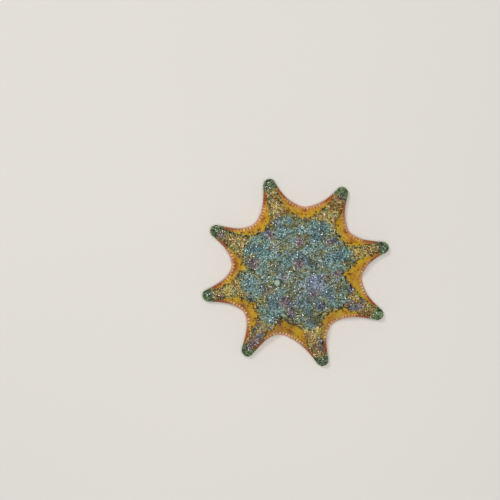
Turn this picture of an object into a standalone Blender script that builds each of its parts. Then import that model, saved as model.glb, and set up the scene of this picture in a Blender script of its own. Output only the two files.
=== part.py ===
# Eight-armed cushion sea star at life size, lying flat with its mouth down.
# The origin is on the floor under the centre of the disc, +Z is up.
# The body is one lofted form, parted by thin gaps into a disc, eight arms and eight arm tips.

import math

import bmesh
import bpy
import numpy as np
from mathutils import Matrix, Vector
from mathutils.bvhtree import BVHTree

MM = 0.001                  # metres in a millimetre; the sizes below are in millimetres and degrees

# Arms, counter-clockwise from +X: direction, reach from the centre, sideways bend of the tip.
ARMS = (
    (16.5, 29.6, -0.5),
    (59.5, 30.1, 0.2),
    (107.3, 30.0, -0.2),
    (152.8, 29.6, 0.0),
    (195.4, 29.9, -0.3),
    (237.7, 30.3, 0.4),
    (285.8, 30.2, 0.5),
    (332.7, 30.1, 0.0),
)
# Bays, each between an arm and the next one: direction and distance of the deepest point.
BAYS = (
    (37.5, 20.9),
    (83.5, 20.6),
    (131.0, 20.0),
    (174.5, 20.2),
    (217.5, 20.6),
    (257.5, 20.1),
    (306.0, 19.7),
    (355.0, 20.6),
)

TIP_RADIUS = 1.95           # round end of an arm, in plan
TIP_TAPER = 15.0            # angle between an arm's side and its axis where the round end starts
BAY_PULL = 0.35             # how far a bay's curve runs before it turns along the arm, as a share
ARM_PULL = 0.38             # the same at the arm's end of the curve

CROWN_HEIGHT = 9.4          # top of the disc over the mouth
ROOT_HEIGHT = 6.0           # ridge of an arm where it leaves the disc
RIDGE_POWER = 1.8           # how the ridge falls from the crown to the tip
BAY_FALL = (3.2, 1.1)       # section towards a bay: how far out it stays full, how thin it ends
ARM_FALL = (2.0, 0.7)       # the same across an arm
TIP_FALL = (2.0, 0.5)       # the same round an arm's end

EDGE_TOP = 1.25             # upper corner of the margin
EDGE_MIDDLE = 0.85          # outermost line of the margin
EDGE_BOTTOM = 0.45          # lower corner of the margin, clear of the floor
TIP_LIFT = 0.8              # height of the underside at an arm's end
BACK_LIFT_SHARE = 0.6       # how much of that lift the back and the margin take
LIFT_START = 24.5           # distance from the centre where the arms start to lift

GROOVE_HALF_WIDTH = 1.1     # tube-foot groove under each arm, at the mouth
GROOVE_END_SHARE = 0.55     # its half-width at the tip, as a share of that
GROOVE_FLOOR_SHARE = 0.6    # its flat floor, as a share of its half-width
GROOVE_DEPTH = 1.0          # along the arms
MOUTH_EXTRA_DEPTH = 0.8     # more depth at the mouth, where the grooves meet
MOUTH_REACH = 4.0           # how fast that extra depth fades
REST_WIDTH = 1.6            # flat beside each groove that stands on the floor
REST_SHARE = 0.3            # its most, as a share of the arm's half-width

ROOT_CUT = 20.5             # distance from the centre of the cut between disc and arm
TIP_CUT_BACK = 4.6          # distance from an arm's end to the cut between arm and tip
GAP = 0.3                   # width of each cut
WELD = 0.002                # points nearer than this are one point
SHARP_ANGLE = 50.0          # edges sharper than this stay crisp

BAY_SHARE = 0.5             # how far round from a bay its own half-width still counts
DISC_RIBS = 8               # divisions of the loft from a bay to an arm's root
ARM_RIBS = 4                # from the root to the tip's cut
TIP_RIBS = 2                # from the tip's cut to the centre of its round end
ROUND_RIBS = 4              # round a quarter of the end
EDGE_STATION = 0.96         # where the margin's upper and lower corners lie across a rib
TOP_STATIONS = (0.0, 0.17, 0.34, 0.51, 0.68, 0.84, EDGE_STATION)   # from the ridge to the margin
SLOPE_STATION = 0.55        # one more point underneath, between the flat and the lower corner
SLOPE_SHARE = 0.45          # its height, as a share of that corner's

PLATE_PLACE = (-6.0, -3.1)  # sieve plate, off the centre between two arms
PLATE_RADIUS = 0.95
PLATE_SINK = 0.3            # how far it goes below the surface round it
PLATE_RISE = 0.25           # how far its crown stands above that surface
SOCKET_RADIUS = PLATE_RADIUS + GAP
SOCKET_DEPTH = PLATE_SINK + GAP
PLATE_SIDES = 24


def soften(t):
    t = min(max(t, 0.0), 1.0)
    return t * t * (3.0 - 2.0 * t)


def blend(a, b, t):
    return a + (b - a) * t


def blend_fall(a, b, t):
    return blend(a[0], b[0], t), blend(a[1], b[1], t)


# Plan of the body.

def turn_from(direction, other):
    return (other - direction + 180.0) % 360.0 - 180.0


def bay_beside(arm, side):
    return BAYS[arm] if side > 0 else BAYS[arm - 1]


def neighbour_angle(arm, side):
    other = ARMS[(arm + side) % len(ARMS)]
    return abs(turn_from(ARMS[arm][0], other[0]))


def margin_curve(arm, side, steps=160):
    """Half outline of one arm, from the bay to the shoulder of its round end.

    x runs along the arm and y away from its axis, to the given side.
    """
    bay_direction, bay_distance = bay_beside(arm, side)
    reach = ARMS[arm][1]
    half = math.radians(abs(turn_from(ARMS[arm][0], bay_direction)))
    taper = math.radians(TIP_TAPER)
    start = np.array((bay_distance * math.cos(half), bay_distance * math.sin(half)))
    start_run = np.array((math.sin(half), -math.cos(half)))
    end = np.array((reach - TIP_RADIUS * (1.0 - math.sin(taper)), TIP_RADIUS * math.cos(taper)))
    end_run = np.array((math.cos(taper), -math.sin(taper)))
    chord = np.linalg.norm(end - start)
    handles = (start, start + start_run * chord * BAY_PULL, end - end_run * chord * ARM_PULL, end)
    t = np.linspace(0.0, 1.0, steps)[:, None]
    weights = ((1 - t) ** 3, 3 * t * (1 - t) ** 2, 3 * t ** 2 * (1 - t), t ** 3)
    return sum(weight * handle for weight, handle in zip(weights, handles))


def half_width_at(curve, x):
    return float(np.interp(x, curve[:, 0], curve[:, 1]))


def axis_offset(arm, x):
    _, reach, bend = ARMS[arm]
    along = max(0.0, (x - ROOT_CUT) / (reach - ROOT_CUT))
    return bend * along * along


# Heights of the body, above the floor.

def ridge_height(x):
    return CROWN_HEIGHT - (CROWN_HEIGHT - ROOT_HEIGHT) * (x / ROOT_CUT) ** RIDGE_POWER


def lift(x, reach):
    return TIP_LIFT * max(0.0, (x - LIFT_START) / (reach - LIFT_START)) ** 2


def groove_half_width(x, reach):
    return GROOVE_HALF_WIDTH * blend(1.0, GROOVE_END_SHARE, x / reach)


def groove_depth(x, reach):
    run_out = 1.0 - soften((x - (reach - TIP_CUT_BACK)) / (TIP_CUT_BACK - TIP_RADIUS))
    return (GROOVE_DEPTH + MOUTH_EXTRA_DEPTH * math.exp(-(x / MOUTH_REACH) ** 2)) * run_out


def rib(arm, side, foot, end, width, fall):
    """One half section of the body, from the ridge over the margin to the groove.

    foot and end are the rib's ends in plan, on the arm's axis and on the margin. width is the
    half-width that the groove and the flat beside it are measured against.
    """
    direction, reach, _ = ARMS[arm]
    ridge = ridge_height(foot[0])
    full, thin = fall
    back = [(v, EDGE_TOP + (ridge - EDGE_TOP) * (1.0 - v ** full) ** thin) for v in TOP_STATIONS]
    back.append((1.0, EDGE_MIDDLE))

    groove = groove_half_width(foot[0], reach)
    depth = groove_depth(foot[0], reach)
    rest_end = (groove + min(REST_WIDTH, REST_SHARE * width)) / width
    underside = [
        (EDGE_STATION, EDGE_BOTTOM),
        (blend(rest_end, EDGE_STATION, SLOPE_STATION), SLOPE_SHARE * EDGE_BOTTOM),
        (rest_end, 0.0),
        (groove / width, 0.0),
        (GROOVE_FLOOR_SHARE * groove / width, depth),
        (0.0, depth),
    ]

    turn = Matrix.Rotation(math.radians(direction), 4, "Z")
    points = []
    for stations, lift_share in ((back, BACK_LIFT_SHARE), (underside, 1.0)):
        for v, z in stations:
            x = blend(foot[0], end[0], v)
            y = side * blend(foot[1], end[1], v) + axis_offset(arm, x)
            points.append(turn @ Vector((x, y, z + lift_share * lift(x, reach))) * MM)
    return points


def disc_ribs(arm, side):
    """Ribs that fan from the bay's line to the arm's root."""
    curve = margin_curve(arm, side)
    last = ROOT_CUT - GAP / 2
    steps = np.hypot(*np.diff(curve, axis=0).T)
    run = np.concatenate(((0.0,), np.cumsum(steps)))
    run_at_cut = float(np.interp(last, curve[:, 0], run))
    bay_distance = bay_beside(arm, side)[1]
    bay_width = bay_distance * math.sin(math.radians(neighbour_angle(arm, side) / 2))
    ribs = []
    for i in range(DISC_RIBS + 1):
        share = i / DISC_RIBS
        end_x = float(np.interp(share * run_at_cut, run, curve[:, 0]))
        end_y = float(np.interp(share * run_at_cut, run, curve[:, 1]))
        width = blend(bay_width, end_y, soften(share / BAY_SHARE))
        fall = blend_fall(BAY_FALL, ARM_FALL, soften(share))
        ribs.append(rib(arm, side, (last * share ** 2, 0.0), (end_x, end_y), width, fall))
    return ribs


def straight_ribs(arm, side, start, stop, count, fall_from, fall_to):
    curve = margin_curve(arm, side)
    ribs = []
    for i in range(count + 1):
        x = blend(start, stop, i / count)
        width = half_width_at(curve, x)
        fall = blend_fall(fall_from, fall_to, i / count)
        ribs.append(rib(arm, side, (x, 0.0), (x, width), width, fall))
    return ribs


def round_ribs(arm, side):
    """Ribs that fan round an arm's end."""
    centre = ARMS[arm][1] - TIP_RADIUS
    shoulder = 90.0 - TIP_TAPER
    side_width = half_width_at(margin_curve(arm, side), centre)
    ribs = []
    for i in range(1, ROUND_RIBS + 1):
        angle = 90.0 * (1.0 - i / ROUND_RIBS)
        width = blend(side_width, TIP_RADIUS, i / ROUND_RIBS)
        radius = TIP_RADIUS / math.cos(math.radians(max(0.0, angle - shoulder)))
        end_x = centre + radius * math.cos(math.radians(angle))
        end_y = radius * math.sin(math.radians(angle))
        ribs.append(rib(arm, side, (centre, 0.0), (end_x, end_y), width, TIP_FALL))
    return ribs


# Meshes and objects.

def new_material(name, color, roughness):
    material = bpy.data.materials.new(name)
    material.use_nodes = True
    shader = material.node_tree.nodes["Principled BSDF"]
    shader.inputs["Base Color"].default_value = (*color, 1.0)
    shader.inputs["Roughness"].default_value = roughness
    shader.inputs["Metallic"].default_value = 0.0
    return material


def new_object(name, mesh_data, material):
    mesh = bpy.data.meshes.new(name)
    mesh_data.to_mesh(mesh)
    mesh_data.free()
    mesh.materials.append(material)
    mesh.shade_smooth()
    mesh.set_sharp_from_angle(angle=math.radians(SHARP_ANGLE))
    thing = bpy.data.objects.new(name, mesh)
    bpy.context.scene.collection.objects.link(thing)
    return thing


def loft(mesh_data, ribs, side):
    rows = [[mesh_data.verts.new(point) for point in points] for points in ribs]
    for here, there in zip(rows, rows[1:]):
        for i in range(len(here) - 1):
            corners = (here[i], there[i], there[i + 1], here[i + 1])
            mesh_data.faces.new(corners if side < 0 else corners[::-1])
    return rows


def cap(mesh_data, left, right):
    """Flat end between the half sections of an arm's two sides."""
    mesh_data.faces.new(left + right[-2:0:-1])


def close_seams(mesh_data):
    bmesh.ops.remove_doubles(mesh_data, verts=mesh_data.verts[:], dist=WELD * MM)
    bmesh.ops.dissolve_degenerate(mesh_data, edges=mesh_data.edges[:], dist=WELD * MM)
    bmesh.ops.recalc_face_normals(mesh_data, faces=mesh_data.faces[:])


def build_disc(material):
    body = bmesh.new()
    for arm in range(len(ARMS)):
        left = loft(body, disc_ribs(arm, 1), 1)[-1]
        right = loft(body, disc_ribs(arm, -1), -1)[-1]
        cap(body, left, right)
    close_seams(body)
    return new_object("disc", body, material)


def build_arm(arm, material):
    body = bmesh.new()
    start = ROOT_CUT + GAP / 2
    stop = ARMS[arm][1] - TIP_CUT_BACK - GAP / 2
    left = loft(body, straight_ribs(arm, 1, start, stop, ARM_RIBS, ARM_FALL, ARM_FALL), 1)
    right = loft(body, straight_ribs(arm, -1, start, stop, ARM_RIBS, ARM_FALL, ARM_FALL), -1)
    cap(body, left[0], right[0])
    cap(body, left[-1], right[-1])
    close_seams(body)
    return new_object(f"arm_{arm + 1}", body, material)


def build_tip(arm, material):
    body = bmesh.new()
    start = ARMS[arm][1] - TIP_CUT_BACK + GAP / 2
    stop = ARMS[arm][1] - TIP_RADIUS
    halves = []
    for side in (1, -1):
        ribs = straight_ribs(arm, side, start, stop, TIP_RIBS, ARM_FALL, TIP_FALL)
        halves.append(loft(body, ribs + round_ribs(arm, side), side))
    cap(body, halves[0][0], halves[1][0])
    close_seams(body)
    return new_object(f"tip_{arm + 1}", body, material)


def surface_under(thing, x, y):
    """Point and normal of the object's upper surface over a place in plan."""
    tree = BVHTree.FromPolygons(
        [vertex.co.copy() for vertex in thing.data.vertices],
        [tuple(polygon.vertices) for polygon in thing.data.polygons],
    )
    above = Vector((x, y, 2 * CROWN_HEIGHT)) * MM
    place, normal, _, _ = tree.ray_cast(above, Vector((0, 0, -1)))
    return place, normal


def turned_solid(profile):
    """Closed body turned about Z from a profile of radius and height, both ends on the axis."""
    body = bmesh.new()
    ring = [body.verts.new((radius * MM, 0.0, height * MM)) for radius, height in profile]
    edges = [body.edges.new(pair) for pair in zip(ring, ring[1:])]
    bmesh.ops.spin(
        body, geom=ring + edges, cent=(0, 0, 0), axis=(0, 0, 1),
        angle=2 * math.pi, steps=PLATE_SIDES, use_merge=True,
    )
    close_seams(body)
    return body


def build_sieve_plate(disc, material):
    place, normal = surface_under(disc, *PLATE_PLACE)
    cutter_top = 2 * PLATE_RISE + GAP
    socket = new_object("socket_cutter", turned_solid((
        (0.0, cutter_top),
        (SOCKET_RADIUS, cutter_top),
        (SOCKET_RADIUS, -SOCKET_DEPTH),
        (0.0, -SOCKET_DEPTH),
    )), material)
    socket.hide_render = True
    socket.display_type = "WIRE"
    cut = disc.modifiers.new("plate_socket", "BOOLEAN")
    cut.operation = "DIFFERENCE"
    cut.object = socket

    plate = new_object("madreporite", turned_solid((
        (0.0, PLATE_RISE),
        (0.45 * PLATE_RADIUS, 0.88 * PLATE_RISE),
        (0.8 * PLATE_RADIUS, 0.45 * PLATE_RISE),
        (PLATE_RADIUS, -0.25 * PLATE_RISE),
        (PLATE_RADIUS, -PLATE_SINK),
        (0.0, -PLATE_SINK),
    )), material)
    for thing in (socket, plate):
        thing.location = place
        thing.rotation_mode = "QUATERNION"
        thing.rotation_quaternion = normal.to_track_quat("Z", "Y")
    return plate


def build_star():
    for old in list(bpy.data.objects):
        bpy.data.objects.remove(old, do_unlink=True)
    disc_skin = new_material("disc_skin", (0.07, 0.13, 0.11), 0.35)
    arm_skin = new_material("arm_skin", (0.35, 0.20, 0.04), 0.35)
    tip_skin = new_material("tip_skin", (0.04, 0.12, 0.06), 0.35)
    plate_shell = new_material("plate_shell", (0.35, 0.55, 0.36), 0.45)

    star = bpy.data.objects.new("sea_star", None)
    bpy.context.scene.collection.objects.link(star)
    disc = build_disc(disc_skin)
    parts = [disc, build_sieve_plate(disc, plate_shell)]
    for arm in range(len(ARMS)):
        parts.append(build_arm(arm, arm_skin))
        parts.append(build_tip(arm, tip_skin))
    for part in parts:
        part.parent = star


build_star()
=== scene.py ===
import math

import bmesh
import bpy
import numpy as np
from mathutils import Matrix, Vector
from mathutils.bvhtree import BVHTree
from mathutils.kdtree import KDTree


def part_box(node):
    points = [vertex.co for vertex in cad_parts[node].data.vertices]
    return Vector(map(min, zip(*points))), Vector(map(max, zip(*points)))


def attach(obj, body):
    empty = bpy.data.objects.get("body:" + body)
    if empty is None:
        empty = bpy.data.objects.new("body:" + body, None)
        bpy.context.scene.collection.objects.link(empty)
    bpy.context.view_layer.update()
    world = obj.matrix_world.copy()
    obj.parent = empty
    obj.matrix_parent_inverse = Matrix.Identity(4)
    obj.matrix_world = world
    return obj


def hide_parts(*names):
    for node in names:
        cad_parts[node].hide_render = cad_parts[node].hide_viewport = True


# Eight-armed cushion sea star at life size: skin, granules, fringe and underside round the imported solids.
# Lengths are in millimetres and angles in degrees. Meshes are scaled to metres when they are made.

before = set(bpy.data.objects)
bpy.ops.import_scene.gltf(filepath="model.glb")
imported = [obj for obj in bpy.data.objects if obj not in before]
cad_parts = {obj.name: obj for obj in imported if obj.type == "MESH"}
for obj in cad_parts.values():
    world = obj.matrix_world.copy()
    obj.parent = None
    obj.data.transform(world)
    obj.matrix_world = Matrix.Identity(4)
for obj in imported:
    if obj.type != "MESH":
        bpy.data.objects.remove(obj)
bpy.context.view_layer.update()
print("frame loaded with", len(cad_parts), "solids")

mm = 0.001
random = np.random.default_rng(8)

body = {  # the same loft as the solids
    "arms": (  # direction, reach from the centre, sideways bend of the tip
        (16.5, 29.6, -0.5), (59.5, 30.1, 0.2), (107.3, 30.0, -0.2), (152.8, 29.6, 0.0),
        (195.4, 29.9, -0.3), (237.7, 30.3, 0.4), (285.8, 30.2, 0.5), (332.7, 30.1, 0.0),
    ),
    "bays": (  # direction and distance of the deepest point, after each arm
        (37.5, 20.9), (83.5, 20.6), (131.0, 20.0), (174.5, 20.2),
        (217.5, 20.6), (257.5, 20.1), (306.0, 19.7), (355.0, 20.6),
    ),
    "tipRadius": 1.95,  # round end of an arm, in plan
    "tipTaper": 15.0,
    "bayPull": 0.35,
    "armPull": 0.38,
    "crown": 9.4,  # top of the disc
    "root": 6.0,  # ridge of an arm where it leaves the disc
    "ridgePower": 1.8,
    "bayFall": (3.2, 1.1),  # section towards a bay: how far it stays full, how thin it ends
    "armFall": (2.0, 0.7),
    "tipFall": (2.0, 0.5),
    "edge": (1.25, 0.85, 0.45),  # margin: upper corner, outermost line, lower corner
    "tipLift": 0.8,
    "backLiftShare": 0.6,
    "liftStart": 24.5,
    "groove": (1.1, 0.55, 0.6, 1.0),  # half-width, its share at the tip, share of flat floor, depth
    "mouth": (0.8, 4.0),  # extra depth over the mouth, and its reach
    "rest": (1.6, 0.3),  # flat beside each groove: width, largest share of the half-width
    "rootCut": 20.5,
    "tipCut": 4.6,
    "bayShare": 0.5,
    "edgeStation": 0.96,
    "slope": (0.55, 0.45),  # a point underneath between the flat and the margin
}
coat = {
    "depth": 0.5,  # how far the skin lies under the tops of the granules
    "under": 0.2,  # the same underneath
    "roofShare": 0.6,  # and in the roofs of the grooves, as a share of that
    "corner": 0.1,  # at the margin's upper and lower corners
    "bayInset": 0.2,  # at the outline, in the bays
    "tipInset": 0.26,  # and round the arms' ends
    "insetTurn": (21.0, 6.0),  # where one gives way to the other, and over how much
}
armCount = len(body["arms"])
armDirections = np.array([arm[0] for arm in body["arms"]])
armReaches = np.array([arm[1] for arm in body["arms"]])
armBends = np.array([arm[2] for arm in body["arms"]])
bayDirections = np.array([bay[0] for bay in body["bays"]])
sides = (1, -1)


def soften(t):
    t = np.clip(t, 0.0, 1.0)
    return t * t * (3.0 - 2.0 * t)


def blend(a, b, t):
    return a + (b - a) * t


def turned(points, direction):  # points in plan, turned from an arm's own axes to the star's
    angle = np.radians(direction)
    c, s = np.cos(angle), np.sin(angle)
    x, y = points[..., 0], points[..., 1]
    return np.stack((x * c - y * s, x * s + y * c), axis=-1)


def unit(vectors):
    return vectors / np.maximum(np.linalg.norm(vectors, axis=-1, keepdims=True), 1e-9)


def leftOf(vectors):  # directions in plan, after a quarter turn counter-clockwise
    return np.stack((-vectors[..., 1], vectors[..., 0]), axis=-1)


def runAlong(points):  # distance along a line, from its first point to each of its points
    return np.concatenate(((0.0,), np.cumsum(np.hypot(*np.diff(points, axis=0).T))))


def nearTree(points):  # finds the nearest of many points in plan
    tree = KDTree(len(points))
    for index, point in enumerate(points):
        tree.insert((*point, 0.0), index)
    tree.balance()
    return tree


def angleBetween(a, b):  # of two directions, in degrees
    return abs((b - a + 180.0) % 360.0 - 180.0)


def bayBeside(arm, side):
    return arm if side > 0 else (arm - 1) % armCount


def halfAngle(arm, side):  # between an arm's axis and the bay beside it, in radians
    return math.radians(angleBetween(armDirections[arm], bayDirections[bayBeside(arm, side)]))


def marginCurve(arm, side, steps=160):  # x along the arm, y away from its axis
    distance = body["bays"][bayBeside(arm, side)][1]
    half, taper = halfAngle(arm, side), math.radians(body["tipTaper"])
    radius = body["tipRadius"]
    start = np.array((distance * math.cos(half), distance * math.sin(half)))
    end = np.array((armReaches[arm] - radius * (1.0 - math.sin(taper)), radius * math.cos(taper)))
    chord = np.linalg.norm(end - start)
    startHandle = start + np.array((math.sin(half), -math.cos(half))) * chord * body["bayPull"]
    endHandle = end - np.array((math.cos(taper), -math.sin(taper))) * chord * body["armPull"]
    t = np.linspace(0.0, 1.0, steps)[:, None]
    return ((1 - t) ** 3 * start + 3 * t * (1 - t) ** 2 * startHandle
            + 3 * t ** 2 * (1 - t) * endHandle + t ** 3 * end)


curves = {(arm, side): marginCurve(arm, side) for arm in range(armCount) for side in sides}


def axisOffset(arm, x):
    reach = armReaches[arm]
    return armBends[arm] * np.maximum(0.0, (x - body["rootCut"]) / (reach - body["rootCut"])) ** 2


def ridgeHeight(x):
    return body["crown"] - (body["crown"] - body["root"]) * (x / body["rootCut"]) ** body["ridgePower"]


def liftAt(x, reach):
    return body["tipLift"] * np.maximum(0.0, (x - body["liftStart"]) / (reach - body["liftStart"])) ** 2


def grooveAt(x, reach):  # half-width and depth of the tube-foot groove
    width, endShare, _, depth = body["groove"]
    extra, spread = body["mouth"]
    runOut = 1.0 - soften((x - (reach - body["tipCut"])) / (body["tipCut"] - body["tipRadius"]))
    return width * blend(1.0, endShare, x / reach), (depth + extra * np.exp(-(x / spread) ** 2)) * runOut


# The skin is lofted from ribs that run from an arm's ridge to the margin and back to its groove.

loft = {
    "discRibs": 52, "armRibs": 26, "roundRibs": 9,
    "topStations": 36, "crowding": 1.3,  # closer together towards the margin
    "rimStations": 2,  # above and below the outermost line
    "underRuns": (4, 4, 3, 3, 2),  # divisions from the margin over the slope and the flat into the groove
    "smoothings": 7, "rounded": 6,  # the smoothing starts this many stations above the margin
}


def halfRibs(arm, side):  # where each rib starts and ends, and the shape of its section
    reach, curve = armReaches[arm], curves[arm, side]
    rootCut, centre = body["rootCut"], armReaches[arm] - body["tipRadius"]
    run = runAlong(curve)
    share = np.linspace(0.0, 1.0, loft["discRibs"] + 1)
    along = share * np.interp(rootCut, curve[:, 0], run)
    discX, discY = np.interp(along, run, curve[:, 0]), np.interp(along, run, curve[:, 1])
    between = math.radians(angleBetween(armDirections[arm], armDirections[(arm + side) % armCount]) / 2)
    bayWidth = body["bays"][bayBeside(arm, side)][1] * math.sin(between)
    armX = np.linspace(rootCut, centre, loft["armRibs"] + 1)[1:]
    armY = np.interp(armX, curve[:, 0], curve[:, 1])
    toTip = np.clip((armX - (reach - body["tipCut"])) / (body["tipCut"] - body["tipRadius"]), 0.0, 1.0)
    step = np.arange(1, loft["roundRibs"] + 1) / loft["roundRibs"]
    angle = np.radians(90.0 * (1.0 - step))
    shoulder = math.radians(90.0 - body["tipTaper"])
    radius = body["tipRadius"] / np.cos(np.maximum(0.0, angle - shoulder))
    full, thin = (
        np.concatenate((blend(bay, limb, soften(share)), blend(limb, tip, toTip), np.full(len(step), tip)))
        for bay, limb, tip in zip(body["bayFall"], body["armFall"], body["tipFall"])
    )
    return {
        "footX": np.concatenate((rootCut * share ** 2, armX, np.full(len(step), centre))),
        "endX": np.concatenate((discX, armX, centre + radius * np.cos(angle))),
        "endY": np.concatenate((discY, armY, radius * np.sin(angle))),
        "width": np.concatenate((
            blend(bayWidth, discY, soften(share / body["bayShare"])), armY,
            blend(armY[-1], body["tipRadius"], step),
        )),
        "full": full,
        "thin": thin,
    }


def backStations(ribs, reach, shrink):  # from the ridge to the upper corner and round the outermost line
    edgeTop, edgeMiddle, edgeBottom = body["edge"]
    low, high = edgeTop - coat["corner"], edgeBottom + coat["corner"]
    t = np.linspace(0.0, 1.0, loft["topStations"])
    top = body["edgeStation"] * (1.0 - (1.0 - t) ** loft["crowding"])
    ridge = ridgeHeight(ribs["footX"]) - coat["depth"]
    fall = 1.0 - top[None, :] ** ribs["full"][:, None]
    height = low + (ridge[:, None] - low) * fall ** ribs["thin"][:, None]
    across = np.broadcast_to(top, height.shape) * shrink[:, None]
    turnIn = np.arange(1, loft["rimStations"] + 1) / (loft["rimStations"] + 1)
    outer = np.concatenate((turnIn, (1.0,), turnIn[::-1]))
    away = np.where(np.arange(len(outer)) < len(turnIn), low - edgeMiddle, high - edgeMiddle)
    rimHeight = edgeMiddle + away * (1.0 - outer)
    across = np.hstack((across, np.outer(shrink, blend(body["edgeStation"], 1.0, outer))))
    height = np.hstack((height, np.broadcast_to(rimHeight, (len(shrink), len(rimHeight)))))
    return across, height + body["backLiftShare"] * liftAt(ribs["footX"], reach)[:, None]


def underStations(ribs, reach, shrink):  # from the lower corner over the flat and into the groove
    groove, depth = grooveAt(ribs["footX"], reach)
    restWidth, restShare = body["rest"]
    restEnd = (groove + np.minimum(restWidth, restShare * ribs["width"])) / ribs["width"]
    slopeStation, slopeShare = body["slope"]
    margin, edgeBottom = body["edgeStation"] * shrink, body["edge"][2]
    roof = depth + coat["under"] * coat["roofShare"]
    ones = np.ones_like(groove)
    corners = [
        (margin, (edgeBottom + coat["corner"]) * ones),
        (blend(restEnd, margin, slopeStation), (slopeShare * edgeBottom + coat["under"]) * ones),
        (restEnd, coat["under"] * ones),
        (groove / ribs["width"], coat["under"] * ones),
        (body["groove"][2] * groove / ribs["width"], roof),
        (0.0 * ones, roof),
    ]
    stations = [corners[0]]
    for (start, end), count in zip(zip(corners, corners[1:]), loft["underRuns"]):
        stations += [[blend(a, b, i / count) for a, b in zip(start, end)] for i in range(1, count + 1)]
    across, height = (np.stack(part, 1) for part in zip(*stations))
    return across, height + liftAt(ribs["footX"], reach)[:, None]


def ribStations(ribs, reach):  # share of the way along each rib, height, and the rim's number
    length = np.hypot(ribs["endX"] - ribs["footX"], ribs["endY"])
    start, over = coat["insetTurn"]
    nearTip = soften((np.hypot(ribs["endX"], ribs["endY"]) - start) / over)
    shrink = 1.0 - blend(coat["bayInset"], coat["tipInset"], nearTip) / length
    back, under = backStations(ribs, reach, shrink), underStations(ribs, reach, shrink)
    across, height = (np.hstack(parts) for parts in zip(back, under))
    first = loft["topStations"] - loft["rounded"]
    for _ in range(loft["smoothings"]):  # rounds the margin and the edges of the groove
        for values in (across, height):
            middle = values[:, first:-1]
            values[:, first:-1] = (values[:, first - 1:-2] + 2.0 * middle + values[:, first + 1:]) / 4.0
    return across, height, loft["topStations"] + loft["rimStations"]


unwrap = {  # the two sides of the skin lie on opposite corners of the map
    "top": (0.37, 0.37, 0.36 / 35.0),  # middle, and share of the map for a millimetre
    "under": (0.79, 0.79, 0.2 / 33.0),
    "reach": 31.0, "steps": 400,  # of the ridge that is laid flat
}


def onMap(places, island):
    x, y, scale = unwrap[island]
    return places * scale + np.array((x, y))


def ridgeRun():  # distance along the ridge
    x = np.linspace(0.0, unwrap["reach"], unwrap["steps"])
    return x, runAlong(np.stack((x, ridgeHeight(x)), 1))


def halfSkin(arm, side):  # one half of an arm's sector: points, and their places on the unwrap
    direction, reach, _ = body["arms"][arm]
    ribs = halfRibs(arm, side)
    across, height, rim = ribStations(ribs, reach)
    foot = np.stack((ribs["footX"], np.zeros_like(ribs["footX"])), 1)
    end = np.stack((ribs["endX"], side * ribs["endY"]), 1)
    plan = foot[:, None, :] + (end - foot)[:, None, :] * across[:, :, None]
    plan[..., 1] += axisOffset(arm, plan[..., 0])
    points = np.concatenate((turned(plan, direction), height[..., None]), axis=2)
    heading = unit(end - foot)
    steps = np.linalg.norm(np.diff(points, axis=1), axis=2)
    none = np.zeros((len(foot), 1))
    topRun = np.hstack((none, np.cumsum(steps, axis=1)))
    underRun = np.hstack((np.cumsum(steps[:, ::-1], axis=1)[:, ::-1], none))
    start = np.stack((np.interp(ribs["footX"], *ridgeRun()), 0.0 * ribs["footX"]), 1)
    topPlace = turned(start[:, None, :] + heading[:, None, :] * topRun[:, :, None], direction)
    underPlace = turned(foot[:, None, :] + heading[:, None, :] * underRun[:, :, None], direction)
    return points, topPlace, underPlace, rim


def loftedSkin():  # points, faces, places on the two maps, and which points are underneath
    points, faces, places, under = [], [], [], []
    count = 0
    for arm in range(armCount):
        for side in sides:
            grid, topPlace, underPlace, rim = halfSkin(arm, side)
            ribs, stations = grid.shape[:2]
            number = count + np.arange(ribs * stations).reshape(ribs, stations)
            count += ribs * stations
            points.append(grid.reshape(-1, 3))
            maps = np.concatenate((onMap(topPlace, "top"), onMap(underPlace, "under")), -1)
            places.append(maps.reshape(-1, 4))
            flag = np.clip(np.arange(stations) - rim + 0.5, 0.0, 1.0)
            under.append(np.broadcast_to(flag, (ribs, stations)).reshape(-1))
            corners = [number[:-1, :-1], number[1:, :-1], number[1:, 1:], number[:-1, 1:]]
            if side > 0:
                corners = corners[::-1]
            faces.append(np.stack([c.reshape(-1) for c in corners], 1))
    return np.vstack(points), np.vstack(faces), np.vstack(places), np.concatenate(under)


# Meshes from arrays.

def makeMesh(name, points, faceSets, mapSets, values=None):
    mesh = bpy.data.meshes.new(name)
    mesh.vertices.add(len(points))
    mesh.vertices.foreach_set("co", (points * mm).astype(np.float32).ravel())
    sizes = np.concatenate([np.full(len(faces), faces.shape[1]) for faces in faceSets])
    mesh.loops.add(int(sizes.sum()))
    corners = np.concatenate([faces.ravel() for faces in faceSets])
    mesh.loops.foreach_set("vertex_index", corners.astype(np.int32))
    mesh.polygons.add(len(sizes))
    starts = np.concatenate(((0,), np.cumsum(sizes)[:-1]))
    mesh.polygons.foreach_set("loop_start", starts.astype(np.int32))
    bakeMap = mesh.uv_layers.new(name="OFBake")
    places = np.concatenate([uvs.reshape(-1, 2) for uvs in mapSets])
    bakeMap.data.foreach_set("uv", places.astype(np.float32).ravel())
    setValues(mesh, values or {})
    mesh.update(calc_edges=True)
    mesh.shade_smooth()
    return mesh


def setValues(mesh, values):  # named numbers on the points, for the materials
    for name, array in values.items():
        kind, field = ("FLOAT_VECTOR", "vector") if array.ndim == 2 else ("FLOAT", "value")
        attribute = mesh.attributes.new(name, kind, "POINT")
        attribute.data.foreach_set(field, array.astype(np.float32).ravel())


def readArray(items, field, width=1, kind=np.float32):  # one row of numbers for each item of a mesh
    flat = np.empty(len(items) * width, kind)
    items.foreach_get(field, flat)
    return flat.reshape(-1, width)


def readPoints(mesh):
    return readArray(mesh.vertices, "co", 3).astype(float) / mm


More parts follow.
